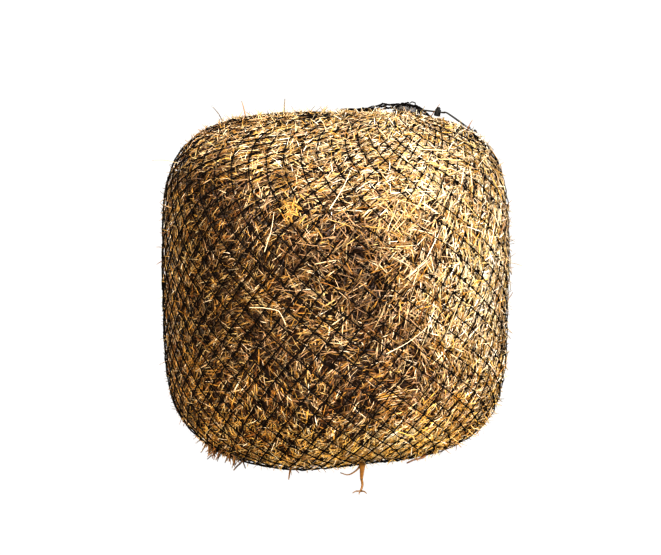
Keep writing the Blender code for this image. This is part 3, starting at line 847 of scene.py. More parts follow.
def net_height(points, family):
    """How high the twine's middle is above the straw's skin; family 0 rises to the right."""
    right, top = right_side(points), top_side(points)
    height = NET_LIFT + 0.0020 * noise(points, 9.0, 1) + 0.0010 * noise(points, 30.0, 2)
    height = height - 0.0010 * right
    height = height - 0.0050 * front_clump(points)
    height = height - 0.0026 * top * (1 - 0.7 * right) - 0.0030 * near_mouth(points)
    if family == 0:
        over = smoothstep(0.15, 0.55, surface_normal(points)[..., 2])
        over = over * smoothstep(-0.38, -0.22, points[..., 0])
        return height - 0.0060 * np.maximum(right, np.maximum(over, 0.8 * top))
    return height - 0.0050 * top * (1 - smoothstep(0.10, 0.26, points[..., 0]))


def under_foot(points):
    return (points[..., 2] < FOOT_HEIGHT + 0.0004)[..., None]


def lift_points(points, height):
    normal = np.where(under_foot(points), DOWN, surface_normal(points))
    lifted = points + normal * height[..., None]
    lifted[..., 2] = np.maximum(lifted[..., 2], TWINE / 2 + FLOOR_CLEARANCE)
    return lifted


def net_bars():
    """All bars between neighbouring knots: paths (n, 4, 3), their family and middle ring."""
    low_row = math.floor(ROWS.min()) - 1
    high_row = math.ceil(ROWS.max()) + 1
    paths, families, rings = [], [], []
    rows, columns = np.meshgrid(np.arange(low_row, high_row), np.arange(COLUMNS), indexing="ij")
    start_column = (columns + (rows % 2) / 2).ravel().astype(float)
    start_row = rows.ravel().astype(float)
    parts = np.linspace(0, 1, 4)
    for family, shift in ((0, 0.5), (1, -0.5)):
        column = start_column[:, None] + shift * parts
        row = start_row[:, None] + parts
        ring, angle = lattice_place(column, row)
        inside = (ring > 0.01) & (ring < RINGS - 1.01)
        keep = inside[:, 0] | inside[:, -1]
        ring, angle = ring[keep], angle[keep]
        points = sample(GRID, ring, angle)
        line = np.round(start_column - 2 * shift * start_row / 2)[keep]
        sunk = 0.0100 * near_mouth(points) * (line % 2)[:, None]
        paths.append(lift_points(points, net_height(points, family) - sunk))
        families.append(np.full(keep.sum(), family))
        rings.append(ring.mean(axis=1))
    return np.concatenate(paths), np.concatenate(families), np.concatenate(rings)


def net_knots():
    low_row, high_row = math.floor(ROWS.min()), math.ceil(ROWS.max()) + 1
    rows, columns = np.meshgrid(np.arange(low_row, high_row), np.arange(COLUMNS), indexing="ij")
    column = (columns + (rows % 2) / 2).ravel().astype(float)
    ring, angle = lattice_place(column, rows.ravel().astype(float))
    keep = (ring > 0.5) & (ring < RINGS - 1.5)
    ring, angle = ring[keep], angle[keep]
    points = sample(GRID, ring, angle)
    height = (net_height(points, 0) + net_height(points, 1)) / 2 - 0.0040 * near_mouth(points)
    lifted = lift_points(points, height + 0.0004)
    normal = surface_normal(points)
    normal[ring < FOOT_STEPS] = DOWN
    up = unit(sample(ALONG, ring, angle))
    across = np.cross(normal, up)
    rng = np.random.default_rng(11)
    size = rng.uniform(0.85, 1.2, (len(points), 3, 1)) * 0.5
    axes = np.stack([across * 0.0082, up * 0.0098, normal * 0.0062], axis=1) * size
    axes = axes * (1 - 0.4 * near_mouth(points))[:, None, None]
    return lifted, axes, ring


def netting():
    paths, families, rings = net_bars()
    rng = np.random.default_rng(7)
    slack = rng.normal(0, 0.0011, (len(paths), 1, 3)) * np.array((0, 1, 1, 0))[None, :, None]
    paths = paths + slack
    paths[..., 2] = np.maximum(paths[..., 2], TWINE / 2 + FLOOR_CLEARANCE)
    out = surface_normal(paths)
    centres, axes, knot_rings = net_knots()
    depth = np.sqrt((axes[..., 2] ** 2).sum(axis=1))
    centres[:, 2] = np.maximum(centres[:, 2], depth + FLOOR_CLEARANCE)
    zones = (("netting_base", 0, FOOT_STEPS), ("netting_side", FOOT_STEPS, SHOULDER_RING),
             ("netting_top", SHOULDER_RING, RINGS))
    for name, low, high in zones:
        mine = (rings >= low) & (rings < high)
        tied = (knot_rings >= low) & (knot_rings < high)
        start = rng.uniform(0, 0.3, (mine.sum(), 1))
        thin = 1 - np.maximum(0.35 * near_mouth(paths[mine]), 0.20 * right_side(paths[mine]))
        radius = TWINE / 2 * rng.uniform(0.88, 1.08, (mine.sum(), 1)) * thin
        bars = strands(paths[mine], radius, 5, out=out[mine], along=start + np.linspace(0, 0.4, 4)[None])
        piece(name.replace("netting", "net_meshes"), [bars, lumps(centres[tied], axes[tied])],
              NET, [name])


netting()


# ---- the gathered mouth above the drawcord

def bowed(a, b, bow, steps=6):
    """A slack bar from a to b, bent by the bow vector in its middle."""
    t = np.linspace(0, 1, steps)[:, None]
    return a * (1 - t) + b * t + bow * (4 * t * (1 - t))


def neck_strands(rng):
    """The meshes' bars drawn together under the cord, through the neck and out above it."""
    paths = []
    for k in range(30):
        angle = 2 * math.pi * (k + rng.uniform(-0.3, 0.3)) / 30
        way = np.array((math.cos(angle), math.sin(angle), 0))
        inner = rng.uniform(0.010, NECK_RADIUS - 0.002)
        points = [way * 0.040 + (0, 0, -0.004), way * (NECK_RADIUS + 0.001) + (0, 0, -0.0015),
                  way * inner + (0, 0, 0.008), way * inner + (0, 0, 0.020),
                  way * (inner + 0.009) + (0, 0, rng.uniform(0.024, 0.029))]
        paths.append(smooth_route(points, 0.012))
    return paths


def mouth_loops(rng):
    """Slack meshes all round above the neck, each an eye of two bars that droops outward."""
    paths = []
    for k in range(11):
        angle = math.radians(-130 + 27 * (k + rng.uniform(-0.35, 0.35)))
        reach = rng.uniform(0.030, 0.052)
        width = rng.uniform(0.004, 0.010)
        rise = rng.uniform(0.022, 0.030)
        droop = rng.uniform(0.002, 0.015)
        way = np.array((math.cos(angle), math.sin(angle), 0))
        across = np.array((-way[1], way[0], 0))
        start = way * rng.uniform(0.012, 0.022) + (0, 0, 0.024)
        end = way * (NECK_RADIUS + reach) + (0, 0, droop)
        lift = np.array((0, 0, rise - 0.5 * (0.024 + droop)))
        for sign in (-1, 1):
            tilt = np.array((0, 0, rng.uniform(-0.003, 0.003)))
            paths.append(bowed(start, end, lift + across * width * sign + tilt, 8))
    return paths


def mouth_lump(rng):
    """The tight tangle of twine on the neck, part of which has fallen over its front."""
    paths = []
    for k in range(16):
        fallen = k % 3 == 0
        middle = (0.004, -0.030, 0.016) if fallen else (0.006, -0.004, 0.028)
        centre = rng.normal(0, 1, 3) * (0.012, 0.009, 0.0035) + middle
        radius = rng.uniform(0.006, 0.011)
        _, axes = axes_frame(centre, unit(rng.normal(0, 1, 3) + (0, 0, 0.2)), rng.normal(0, 1, 3))
        t = np.linspace(0, rng.uniform(1.1, 1.8) * math.pi, 9) + rng.uniform(0, 6)
        curl = np.stack([np.cos(t), np.sin(t), 0.25 * np.sin(2 * t)], axis=-1) * radius
        path = centre + curl @ axes
        path[:, 2] = np.clip(path[:, 2], 0.003 if fallen else 0.0225, 0.040)
        paths.append(path)
    return paths


# the loose meshes behind the left of the neck and at its right: where their knots are, in plan from the
# neck, and how high over the netting
FLAP = {
    "a0": (-0.014, 0.004, 0.022), "a1": (-0.018, 0.012, 0.031),
    "b0": (-0.040, 0.018, 0.012), "b1": (-0.038, 0.026, 0.022), "b2": (-0.034, 0.030, 0.032),
    "c0": (-0.062, 0.030, 0.015), "c1": (-0.060, 0.036, 0.028),
    "d0": (-0.086, 0.040, 0.008), "d1": (-0.084, 0.046, 0.019), "d2": (-0.082, 0.050, 0.029),
    "e0": (-0.107, 0.050, 0.011), "e1": (-0.105, 0.056, 0.023),
    "f0": (-0.129, 0.056, 0.007), "f1": (-0.127, 0.060, 0.016),
    "g0": (-0.152, 0.062, 0.011), "h0": (-0.180, 0.064, 0.008), "i0": (-0.212, 0.066, 0.006),
    "r0": (0.024, -0.002, 0.026), "r1": (0.044, -0.006, 0.016), "r2": (0.042, 0.002, 0.028),
    "r3": (0.064, -0.006, 0.008), "r4": (0.066, 0.006, 0.018), "r5": (0.084, 0.000, 0.006),
}
FLAP_BARS = ("a0b0 a0b1 a1b1 a1b2 b0c0 b1c0 b1c1 b2c1 c0d0 c0d1 c1d1 c1d2 d0e0 d1e0 d1e1 d2e1 e0f0 e0f1 "
             "e1f1 f0g0 f1g0 g0h0 h0i0 r0r1 r0r2 r1r3 r2r4 r1r4 r3r5 r4r5").split()


def from_mouth(x, y, height):
    return above_crown((MOUTH[0] + x, MOUTH[1] + y), height)


def mouth_flap(rng):
    """Each bar of the loose meshes is two twines laid together."""
    knots = {name: from_mouth(*place) + rng.normal(0, 0.0010, 3) for name, place in FLAP.items()}
    paths = []
    for bar in FLAP_BARS:
        for _ in range(2):
            shift = rng.normal(0, 0.0007, 3)
            bow = rng.normal(0, 0.0016, 3) + (0, 0, 0.0006)
            paths.append(bowed(knots[bar[:2]] + shift, knots[bar[2:]] + shift, bow, 6))
    return paths, np.array(list(knots.values()))


def thick_edge(rng):
    """The gathered border of the netting: a few strands laid together along the top's edge."""
    places = [(-0.100, 0.048), (-0.130, 0.056), (-0.160, 0.060), (-0.190, 0.062), (-0.228, 0.064)]
    paths = []
    for k in range(8):
        offset = rng.normal(0, 0.0024, 3)
        wave = rng.uniform(0, 6)
        path = [from_mouth(x, y, 0.002 + 0.0018 * (k % 4) + 0.0015 * math.sin(wave + 2 * i)) + offset
                for i, (x, y) in enumerate(places)]
        paths.append(smooth_route(path, 0.012))
    return paths


def ruffle():
    rng = np.random.default_rng(23)
    flap, knots = mouth_flap(rng)
    paths = [in_frame(MOUTH_FRAME, path) for path in neck_strands(rng) + mouth_loops(rng) + mouth_lump(rng)]
    blocks = [rope(path, TWINE / 2 * rng.uniform(0.88, 1.0), 6, 8.0)
              for path in paths + flap + thick_edge(rng)]
    rows = MOUTH_FRAME[1]
    axes = np.stack([rows[0] * 0.0046, rows[1] * 0.0042, rows[2] * 0.0040])
    blocks.append(lumps(knots, np.repeat(axes[None], len(knots), axis=0)))
    piece("net_ruffle", blocks, NET, ["netting_ruffle"])


ruffle()


# ---- the base closure and the seam up the back

def base_closure():
    t = np.linspace(0, 2 * math.pi, 97)
    ring = np.stack([CLOSING_RING * np.cos(t), CLOSING_RING * np.sin(t),
                     FOOT_HEIGHT / 2 + 0.0002 * np.sin(9 * t)], axis=-1)
    piece("base_drawn_cord", [rope(ring, CLOSING_CORD / 2 * 0.95, 8, CORD_TURNS)], BRAID,
          ["base_closing_cord"])
    centre = np.array((CLOSING_RING - CLOSING_CORD / 2 - GAP - 0.009, 0, FOOT_HEIGHT / 2))
    blocks = overhand_knot(centre, np.array((0, 0, 1.0)), np.array((1.0, 0, 0)), 0.0085, 0.0019)
    for block in blocks:
        block.verts[:, 2] = FOOT_HEIGHT / 2 + (block.verts[:, 2] - FOOT_HEIGHT / 2) * 0.3
    piece("base_cord_knot", blocks, BRAID, ["base_closing_knot"])


def seam_line(position):
    flank_part = 0.62

    def place(value):
        if value < flank_part:
            return flank_point(SEAM_START + value / flank_part * (1 - SEAM_START), SEAM_ANGLE)
        return crown_point(1 - 0.72 * (value - flank_part) / (1 - flank_part), SEAM_ANGLE)

    along = place(min(position + 0.004, 1.0)) - place(max(position - 0.004, 0.0))
    return place(position), unit(np.cross(along, (1.0, 0, 0)))


def seam():
    """The lacing: a slack zigzag that hooks under a bar on each side."""
    count, points = 64, []
    for i in range(4 * count + 1):
        position = i / (4 * count)
        point, out = seam_line(position)
        phase = math.pi * i / 4
        rise = 0.0016 * math.sin(2 * phase)
        height = TWINE_ROOM + GAP + SEAM_STANDOFF + SEAM_CORD / 2 - 0.0012 + rise
        points.append(point + out * height + np.array((SEAM_SWAY * math.cos(phase), 0, 0)))
    piece("seam_cord", [rope(np.array(points), SEAM_CORD / 2 * 0.9, 7, 90.0)], NET,
          ["seam_lacing"])
    radius = 0.0055
    ends = (("low", 0, points[0], points[2]), ("high", 1, points[-1], points[-3]))
    for name, position, tip, inner in ends:
        out = seam_line(position)[1]
        centre = tip + out * (radius - SEAM_CORD / 2) + unit(tip - inner) * (radius + GAP)
        piece(f"seam_knot_{name}_tied", overhand_knot(centre, out, unit(tip - inner), radius, 0.0019),
              NET, [f"seam_knot_{name}"])


base_closure()
seam()


# ---- the straw

HOLLOWS = [((0.014, -0.585, 0.705), 0.034), ((0.140, -0.570, 0.690), 0.040),
           ((-0.120, -0.575, 0.900), 0.030), ((0.060, -0.588, 0.790), 0.026)]


def hollow(points):
    """How deep in a dark hollow a place is, 0 to 1."""
    depth = np.zeros(points.shape[:-1])
    for centre, radius in HOLLOWS:
        away = np.linalg.norm((points - np.array(centre)) * (1, 0.6, 1.25), axis=-1) / radius
        depth = np.maximum(depth, 1 - smoothstep(0.5, 1.25, away + 0.2 * noise(points, 30.0, 4)))
    return depth


def packed_core():
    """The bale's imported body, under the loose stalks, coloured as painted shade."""
    normal = surface_normal(GRID)
    normal[:FOOT_STEPS] = DOWN
    depth = 0.015 + 0.004 * noise(GRID, 45.0, 3) + 0.003 * noise(GRID, 110.0, 6)
    depth = depth + 0.022 * hollow(GRID) + 0.004 * front_clump(GRID)
    depth[:FOOT_STEPS] = 0.002
    verts = GRID - normal * depth[..., None]
    verts[..., 2] = np.maximum(verts[..., 2], FOOT_HEIGHT + 0.001)
    middle_low, middle_high = verts[0].mean(axis=0), verts[-1].mean(axis=0)
    index = np.arange(RINGS * AROUND).reshape(RINGS, AROUND)
    after = np.roll(index, -1, axis=1)
    quads = np.stack([index[:-1], after[:-1], after[1:], index[1:]], axis=-1).reshape(-1, 4)
    low = np.stack([after[0], index[0], np.full(AROUND, RINGS * AROUND)], axis=-1)
    high = np.stack([index[-1], after[-1], np.full(AROUND, RINGS * AROUND + 1)], axis=-1)
    u = (np.arange(AROUND) / AROUND)[None, :] + 0 * ARC
    v = (np.arange(RINGS) / (RINGS - 1))[:, None] + 0 * ARC
    far_u = u + 1 / AROUND
    quad_u = np.stack([u[:-1], far_u[:-1], far_u[1:], u[1:]], axis=-1)
    quad_v = np.stack([v[:-1], v[:-1], v[1:], v[1:]], axis=-1)
    low_uv = np.stack([np.stack([far_u[0], u[0], u[0]], -1).ravel(), np.zeros(3 * AROUND)], -1)
    high_uv = np.stack([np.stack([u[-1], far_u[-1], u[-1]], -1).ravel(), np.ones(3 * AROUND)], -1)
    uvs = np.concatenate([np.stack([quad_u.ravel(), quad_v.ravel()], -1), low_uv, high_uv])
    loops = np.concatenate([quads.ravel(), low.ravel(), high.ravel()])
    totals = np.concatenate([np.full(len(quads), 4), np.full(2 * AROUND, 3)])
    points = np.concatenate([verts.reshape(-1, 3), [middle_low], [middle_high]])
    piece("packed_straw_painted_shade", [Block(points, loops, totals, uvs)], CORE_SHADE, ["straw_bale"])


packed_core()

CELL_AREAS = (np.linalg.norm(ALONG, axis=-1) * np.linalg.norm(ACROSS, axis=-1))


def scattered(rng, count, density):
    """Random places on the skin: point, up, across and outward, with a density by place."""
    weight = (CELL_AREAS * density(GRID)).ravel()
    weight.reshape(RINGS, AROUND)[:FOOT_STEPS] *= 0.25
    cell = rng.choice(weight.size, count, p=weight / weight.sum())
    ring = cell // AROUND + rng.uniform(-0.5, 0.5, count)
    angle = (cell % AROUND + rng.uniform(-0.5, 0.5, count)) * 2 * math.pi / AROUND
    ring = np.clip(ring, 0, RINGS - 1.01)
    point = sample(GRID, ring, angle)
    normal = surface_normal(point)
    normal[ring < FOOT_STEPS] = DOWN
    up = unit(sample(ALONG, ring, angle))
    return point, up, np.cross(up, normal), normal


# painted shade and painted light on the straw: each spot's centre, radius and how much it lowers or raises
# the tone level
PAINTED_SHADE_AND_LIGHT_SPOTS = [((-0.06, -0.57, 0.96), 0.26, -0.15), ((0.16, -0.56, 0.40), 0.24, -0.22),
          ((0.14, -0.57, 0.66), 0.17, -0.14), ((-0.34, -0.46, 0.96), 0.22, -0.17),
          ((-0.44, -0.10, 1.04), 0.28, -0.16), ((0.26, 0.05, 1.12), 0.26, -0.12),
          ((0.44, -0.36, 0.66), 0.26, 0.16), ((0.10, -0.42, 0.04), 0.32, 0.24),
          ((-0.30, -0.42, 0.12), 0.30, 0.16), ((0.38, -0.40, 0.26), 0.24, -0.06)]


def painted_shade_and_light(points):
    """Painted shade and painted light: the straw's tone level is lowered or raised round these spots."""
    total = np.zeros(points.shape[:-1])
    for centre, radius, amount in PAINTED_SHADE_AND_LIGHT_SPOTS:
        away = np.linalg.norm(points - np.array(centre), axis=-1) / radius
        total = total + amount * (1 - smoothstep(0.4, 1.2, away + 0.2 * noise(points, 9.0, 21)))
    return total


ROW_START, ROW_HEIGHT = 0.002, 0.011      # where a stalk lies in its level's band of the ramp


def tone(family, level):
    """The UV row of a family's level."""
    return (family * LEVELS + level) / (4 * LEVELS) + ROW_START


def chosen_tones(rng, points, shift):
    """The UV row of each straw: family and level, by where it lies on the bale; painted light makes the
    straw paler and creamier on the right and the top, and more orange at the bottom.
    """
    right = smoothstep(-0.45, 0.45, points[:, 0] - 0.25 * points[:, 1])
    low = 1 - smoothstep(0.05, 0.55, points[:, 2] + 0.12 * noise(points, 4.0, 8))
    patch = noise(points, 12.0, 12)
    # painted light: more of the pale CREAM family on the right and the top, where the key light falls, and
    # painted warm light: more of the ORANGE family at the bottom
    weights = np.stack([1.0 + 0 * low, 0.30 + 0.9 * low + 0.15 * patch,
                        0.60 * (1 - 0.4 * low) + 0.15 * patch,
                        0.18 + 1.2 * right * (1 - low) + 0.3 * top_side(points)], axis=-1)
    weights = np.maximum(weights, 0.02)
    edges = np.cumsum(weights / weights.sum(-1, keepdims=True), axis=-1)
    family = (rng.uniform(0, 1, (len(points), 1)) > edges).sum(-1)
    family = np.minimum(family, 3)
    # painted light and shade: the level rises to the right and on the top, falls to the left, and takes the
    # painted spots
    level = rng.beta(2.5, 2.8, len(points)) + 0.12 * patch + 0.16 * (right - 0.5) + shift
    level = level + 0.17 * top_side(points) + painted_shade_and_light(points)
    return tone(family, np.clip(np.floor(level * LEVELS), 0, LEVELS - 1))


PUFF = 0.0046                 # how far the straw swells out in the middle of a mesh
PRESS_DEPTH = 0.0066          # how far the twine presses it in
PRESS_WIDTH = 0.15            # over this share of a bar on each side of the twine


def straw_paths(point, up, across, normal, angle, length, height, tilt, bend, steps, pin):
    """Paths that follow the bale's skin, puffed out inside each mesh and pressed in under its lines."""
    q = np.linspace(-1, 1, steps)[None, :, None]
    way = unit(across * np.cos(angle)[:, None] + up * np.sin(angle)[:, None])
    beside = np.cross(normal, way)
    half = (length / 2)[:, None, None]
    line = point[:, None] + way[:, None] * half * q + beside[:, None] * (bend[:, None, None] * half * q * q)
    flat = to_surface(line)
    out = surface_normal(flat)
    out = np.where(under_foot(point)[:, None], DOWN, out)
    lift = height[:, None] + tilt[:, None] * half[..., 0] * q[..., 0]
    rising, falling = lattice_distance(flat)
    puff = PUFF * np.sqrt(np.sin(math.pi * rising) * np.sin(math.pi * falling))
    press = np.maximum(np.exp(-(rising / PRESS_WIDTH) ** 2) * (1 - 0.7 * right_side(flat)),
                       np.exp(-(falling / PRESS_WIDTH) ** 2)) * (1 - front_clump(flat))
    press = press * (1 - 0.6 * top_side(flat))
    path = flat + out * (lift + puff)[..., None]
    straight = path[:, :1] * (1 - q) / 2 + path[:, -1:] * (1 + q) / 2
    path = (path + straight) / 2 - out * (PRESS_DEPTH * press * pin[:, None])[..., None]
    path[..., 2] = np.maximum(path[..., 2], STRAW_FLOOR)
    return path, out


SECTORS = 8
STRAW_FLOOR = 0.0025          # no straw lies lower


def add_straws(store, path, out, width, sides, flat, roll, rows, rng, taper):
    """Puts straws in their sector of the bale."""
    middle = path[:, path.shape[1] // 2]
    sector = np.floor((np.arctan2(middle[:, 1], middle[:, 0]) / (2 * math.pi) + 0.5) * SECTORS)
    sector = np.clip(sector.astype(int), 0, SECTORS - 1)
    steps = path.shape[1]
    start = rng.uniform(0, 0.55, (len(path), 1))
    along = start + np.linspace(0, 0.4, steps)[None]
    radii = width[:, None] / 2 * taper[None]
    for s in range(SECTORS):
        m = sector == s
        store.setdefault(s, []).append(strands(
            path[m], radii[m], sides, out=out[m], flat=flat[m], roll=roll[m], along=along[m],
            row=rows[m], row_height=ROW_HEIGHT))


def loose_field(rng, points):
    """The common direction of neighbouring stalks."""
    return 0.9 + 1.3 * noise(points, 11.0, 15) + 1.0 * noise(points, 3.5, 16)


def even(points):
    return np.ones(points.shape[:-1])


def outside_hollows(points):
    return 1 - 0.92 * hollow(points)


def under_layer(store, rng):
    count = 13500
    point, up, across, normal = scattered(rng, count, even)
    angle = loose_field(rng, point) + rng.normal(0, 0.9, count)
    length = rng.uniform(0.050, 0.105, count)
    height = rng.uniform(-0.016, -0.007, count) - 0.016 * hollow(point)
    path, out = straw_paths(point, up, across, normal, angle, length, height, rng.normal(0, 0.06, count),
                            rng.normal(0, 0.05, count), 3, np.full(count, 0.5))
    width = rng.uniform(0.0030, 0.0062, count)
    flat = np.where(rng.uniform(0, 1, count) < 0.45, 0.25, 0.9)
    roll = np.repeat(rng.normal(0, 0.5, (count, 1)), 3, axis=1)
    # painted shade: the deep straws' tone is darker than the loose ones', and painted light makes them
    # paler towards the right
    shift = -0.25 + 0.30 * right_side(point)
    add_straws(store, path, out, width, 4, flat, roll, chosen_tones(rng, point, shift), rng,
               np.array((0.8, 1.0, 0.8)))


def over_layer(store, rng):
    kinds = (  # count, length, width, flat, height, tilt, crossing share
        (17500, (0.022, 0.056), (0.0019, 0.0033), (0.7, 1.0), (-0.0125, -0.0050), 0.06, 0.04),
        (1500, (0.020, 0.046), (0.0045, 0.0070), (0.08, 0.2), (-0.0120, -0.0050), 0.07, 0.03),
        (7500, (0.010, 0.026), (0.0013, 0.0025), (0.5, 1.0), (-0.0100, -0.0035), 0.14, 0.08),
    )
    for count, lengths, widths, flats, heights, tilts, crossing in kinds:
        point, up, across, normal = scattered(rng, count, outside_hollows)
        over = rng.uniform(0, 1, count) < crossing
        stray = rng.uniform(0, 1, count) < 0.30
        angle = loose_field(rng, point) + rng.normal(0, 1, count) * np.where(stray, 1.4, 0.30)
        length = rng.uniform(*lengths, count)
        height = rng.uniform(*heights, count) + over * rng.uniform(0.003, 0.008, count)
        tilt = rng.normal(0, tilts, count) * np.where(over, 1.8, 1.0)
        bend = rng.normal(0, 0.02, count)
        pin = np.where(over, 0.0, 1.0)
        path, out = straw_paths(point, up, across, normal, angle, length, height, tilt, bend, 4, pin)
        width = rng.uniform(*widths, count)
        flat = rng.uniform(*flats, count)
        roll = rng.normal(0, 0.35, (count, 1)) + rng.normal(0, 0.5, (count, 1)) * np.linspace(-1, 1, 4)
        shift = 0.09 - 0.04 * front_clump(point)
        add_straws(store, path, out, width, 5, flat, roll, chosen_tones(rng, point, shift), rng,
                   np.array((0.72, 1.0, 0.95, 0.62)))


def clump_density(points):
    return 0.012 + front_clump(points) + 0.25 * right_side(points) * (points[..., 2] > 0.3)


def front_straws(store, rng):
    """Long stalks over the netting, mostly in the middle of the front."""
    count = 560
    point, up, across, normal = scattered(rng, count, lambda p: clump_density(p) * outside_hollows(p))
    angle = loose_field(rng, point) + rng.normal(0, 0.9, count)
    length = rng.uniform(0.028, 0.095, count)
    height = rng.uniform(-0.004, 0.006, count)
    tilt = rng.normal(0, 0.13, count)
    path, out = straw_paths(point, up, across, normal, angle, length, height, tilt,
                            rng.normal(0, 0.05, count), 5, np.zeros(count))
    width = rng.uniform(0.0018, 0.0040, count)
    flat = np.where(rng.uniform(0, 1, count) < 0.25, 0.15, 0.95)
    roll = rng.normal(0, 0.6, (count, 1)) + 0 * np.linspace(-1, 1, 5)
    add_straws(store, path, out, width, 6, flat, roll, chosen_tones(rng, point, -0.02), rng,
               np.array((0.8, 1.0, 1.0, 0.9, 0.55)))


def sprout_density(points):
    """Most ends stand up on the top and round the foot, and none beside the cord lock."""
    away = np.linalg.norm(points - np.array((*LOCK, crown_height(*LOCK))), axis=-1)
    share = 0.7 + 1.4 * top_side(points) + 0.6 * right_side(points) + 1.0 * (points[..., 2] < 0.2)
    return share * (away > 0.05)


def sprouting_straws(store, rng):
    """Ends that stand out of the meshes and break the outline."""
    count = 6600
    point, up, across, normal = scattered(rng, count, sprout_density)
    angle = rng.uniform(-math.pi, math.pi, count)
    length = rng.uniform(0.014, 0.040, count)
    lean = rng.uniform(0.15, 1.0, count)
    way = across * np.cos(angle)[:, None] + up * np.sin(angle)[:, None]
    way = unit(way * np.cos(lean)[:, None] + normal * np.sin(lean)[:, None])
    q = np.linspace(0, 1, 4)[None, :, None]
    bend = unit(np.cross(way, normal))[:, None] * (rng.normal(0, 0.12, count) * length)[:, None, None]
    root = point[:, None] - normal[:, None] * 0.006
    path = root + way[:, None] * length[:, None, None] * q + bend * q * q
    path[..., 2] = np.maximum(path[..., 2], STRAW_FLOOR)
    width = rng.uniform(0.0012, 0.0034, count)
    flat = np.where(rng.uniform(0, 1, count) < 0.3, 0.2, 0.9)
    add_straws(store, path, np.repeat(normal[:, None], 4, axis=1) + 0.01, width, 5, flat,
               rng.normal(0, 0.5, (count, 4)) * 0.3, chosen_tones(rng, point, 0.06), rng,
               np.array((1.0, 0.95, 0.8, 0.35)))


def straw():
    rng = np.random.default_rng(2024)
    deep, loose = {}, {}
    under_layer(deep, rng)
    over_layer(loose, rng)
    front_straws(loose, rng)
    sprouting_straws(loose, rng)
    for s in range(SECTORS):
        piece(f"straw_deep_{s + 1}", deep[s], STRAW)
        piece(f"straw_loose_{s + 1}", loose[s], STRAW)


straw()


# ---- the lone stalks, which stand for the CAD's loose straws

def stalk(points, width, colour, flat=0.9, end=0.45, roll=0.3):
    """One stalk along a few points, thinner towards its end."""
    path = smooth_route(points, 0.008)
    steps = len(path)
    taper = np.linspace(1.0, end, steps)
    return strands(path[None], width / 2 * taper[None], 8, frames=carried_frames(path)[None], flat=flat,
                   roll=np.linspace(0, roll, steps)[None], along=np.linspace(0.05, 0.95, steps)[None],
                   row=colour, row_height=ROW_HEIGHT)


HIGH_FRONT = 0.85             # above this height the front turns over into the top


def on_front(x, height, lift):
    """A point on the front of the bale at a height above the floor."""
    if height > HIGH_FRONT:
        low, high = -BALE_RADIUS, 0.0
        for _ in range(30):
            y = (low + high) / 2
            low, high = (y, high) if crown_height(x, y) < height else (low, y)
        point = np.array((x, y, height))
        return point + surface_normal(point) * (GAP + TWINE_ROOM + lift)
    low, high = -1.0, 1.0
    for _ in range(30):
        share = (low + high) / 2
        if flank_point(share, -math.pi / 2)[2] < height:
            low = share
        else:
            high = share
    angle = -math.pi / 2
    for _ in range(6):
        radius = float(np.hypot(*flank_point(share, angle)[:2]))
        angle = -math.acos(max(-1, min(1, x / radius)))
    point = flank_point(share, angle)
    return point + surface_normal(point) * (GAP + TWINE_ROOM + lift)


STALK_GROUND = 0.0042         # the lowest a hanging stalk's middle comes


def hanging_route(x, reach, bend, end):
    """Out of the lower meshes at the front, and drooping to an end height."""
    start = on_front(x, 0.064, 0.002)
    knee = (start[0] + 0.6 * bend, start[1] - 0.65 * reach, 0.45 * start[2] + 0.55 * end)
    return [start, start + np.array((0.2 * bend, -0.30 * reach, -0.006)), np.array(knee),
            np.array((start[0] + bend, start[1] - reach, end))]


def tufted(route):
    """A stalk beside two bunches of short bent ones."""
    rng = np.random.default_rng(5)
    blocks = [stalk(route, 0.0060, tone(OLIVE, 3))]
    for _ in range(64):
        x = rng.choice((-0.408, -0.345)) + rng.normal(0, 0.016)
        root = on_front(x, rng.uniform(0.066, 0.100), -0.006)
        reach = rng.uniform(0.016, 0.042)
        way = (rng.uniform(-0.9, 0.8), rng.uniform(-0.5, -0.1), rng.uniform(-1.0, -0.2))
        way = unit(np.array(way)) * reach
        tip = np.maximum(root + way + np.array((0, 0, -0.10 * reach)), (-9, -9, STALK_GROUND))
        width = rng.uniform(0.0050, 0.0090)
        colour = tone(rng.integers(0, 3), rng.integers(1, 8))
        blocks.append(stalk([root, root + 0.5 * way, tip], width, colour, flat=0.6, end=0.4))
    return blocks


def forked(route):
    """A short flat stalk with a thinner one beside it."""
    start, bow, knee, _ = route
    return [stalk(route, 0.0075, tone(GOLDEN, 4), flat=0.5),
            stalk([start, bow + (0.016, 0, 0.002), knee + (0.030, 0.010, 0)], 0.0050, tone(GOLDEN, 3))]


def drooping_leaf(route):
    """A broad leaf that narrows to a stem on the ground, where it ends in three short toes."""
    root, bow, knee, foot = route
    side_leaf = [root, root + (-0.018, -0.035, -0.012), root + (-0.046, -0.050, -0.024),
                 root + (-0.072, -0.042, -0.020)]
    blocks = [stalk([root, bow, knee], 0.0220, tone(GOLDEN, 4), flat=0.25, end=0.45, roll=0.5),
              stalk([knee, (knee + foot) / 2 + (0.004, 0, 0.002), foot], 0.0085, tone(GOLDEN, 4), end=0.8),
              stalk(side_leaf, 0.0100, tone(GOLDEN, 3), flat=0.35, end=0.5)]
    for side in (-0.026, -0.006, 0.018):
        toe = foot + np.array((side, -0.030 + 0.5 * abs(side), 0))
        blocks.append(stalk([foot, (foot + toe) / 2 + (0.1 * side, 0, 0.003), toe], 0.0060,
                            tone(GOLDEN, 4), end=0.4))
    return blocks


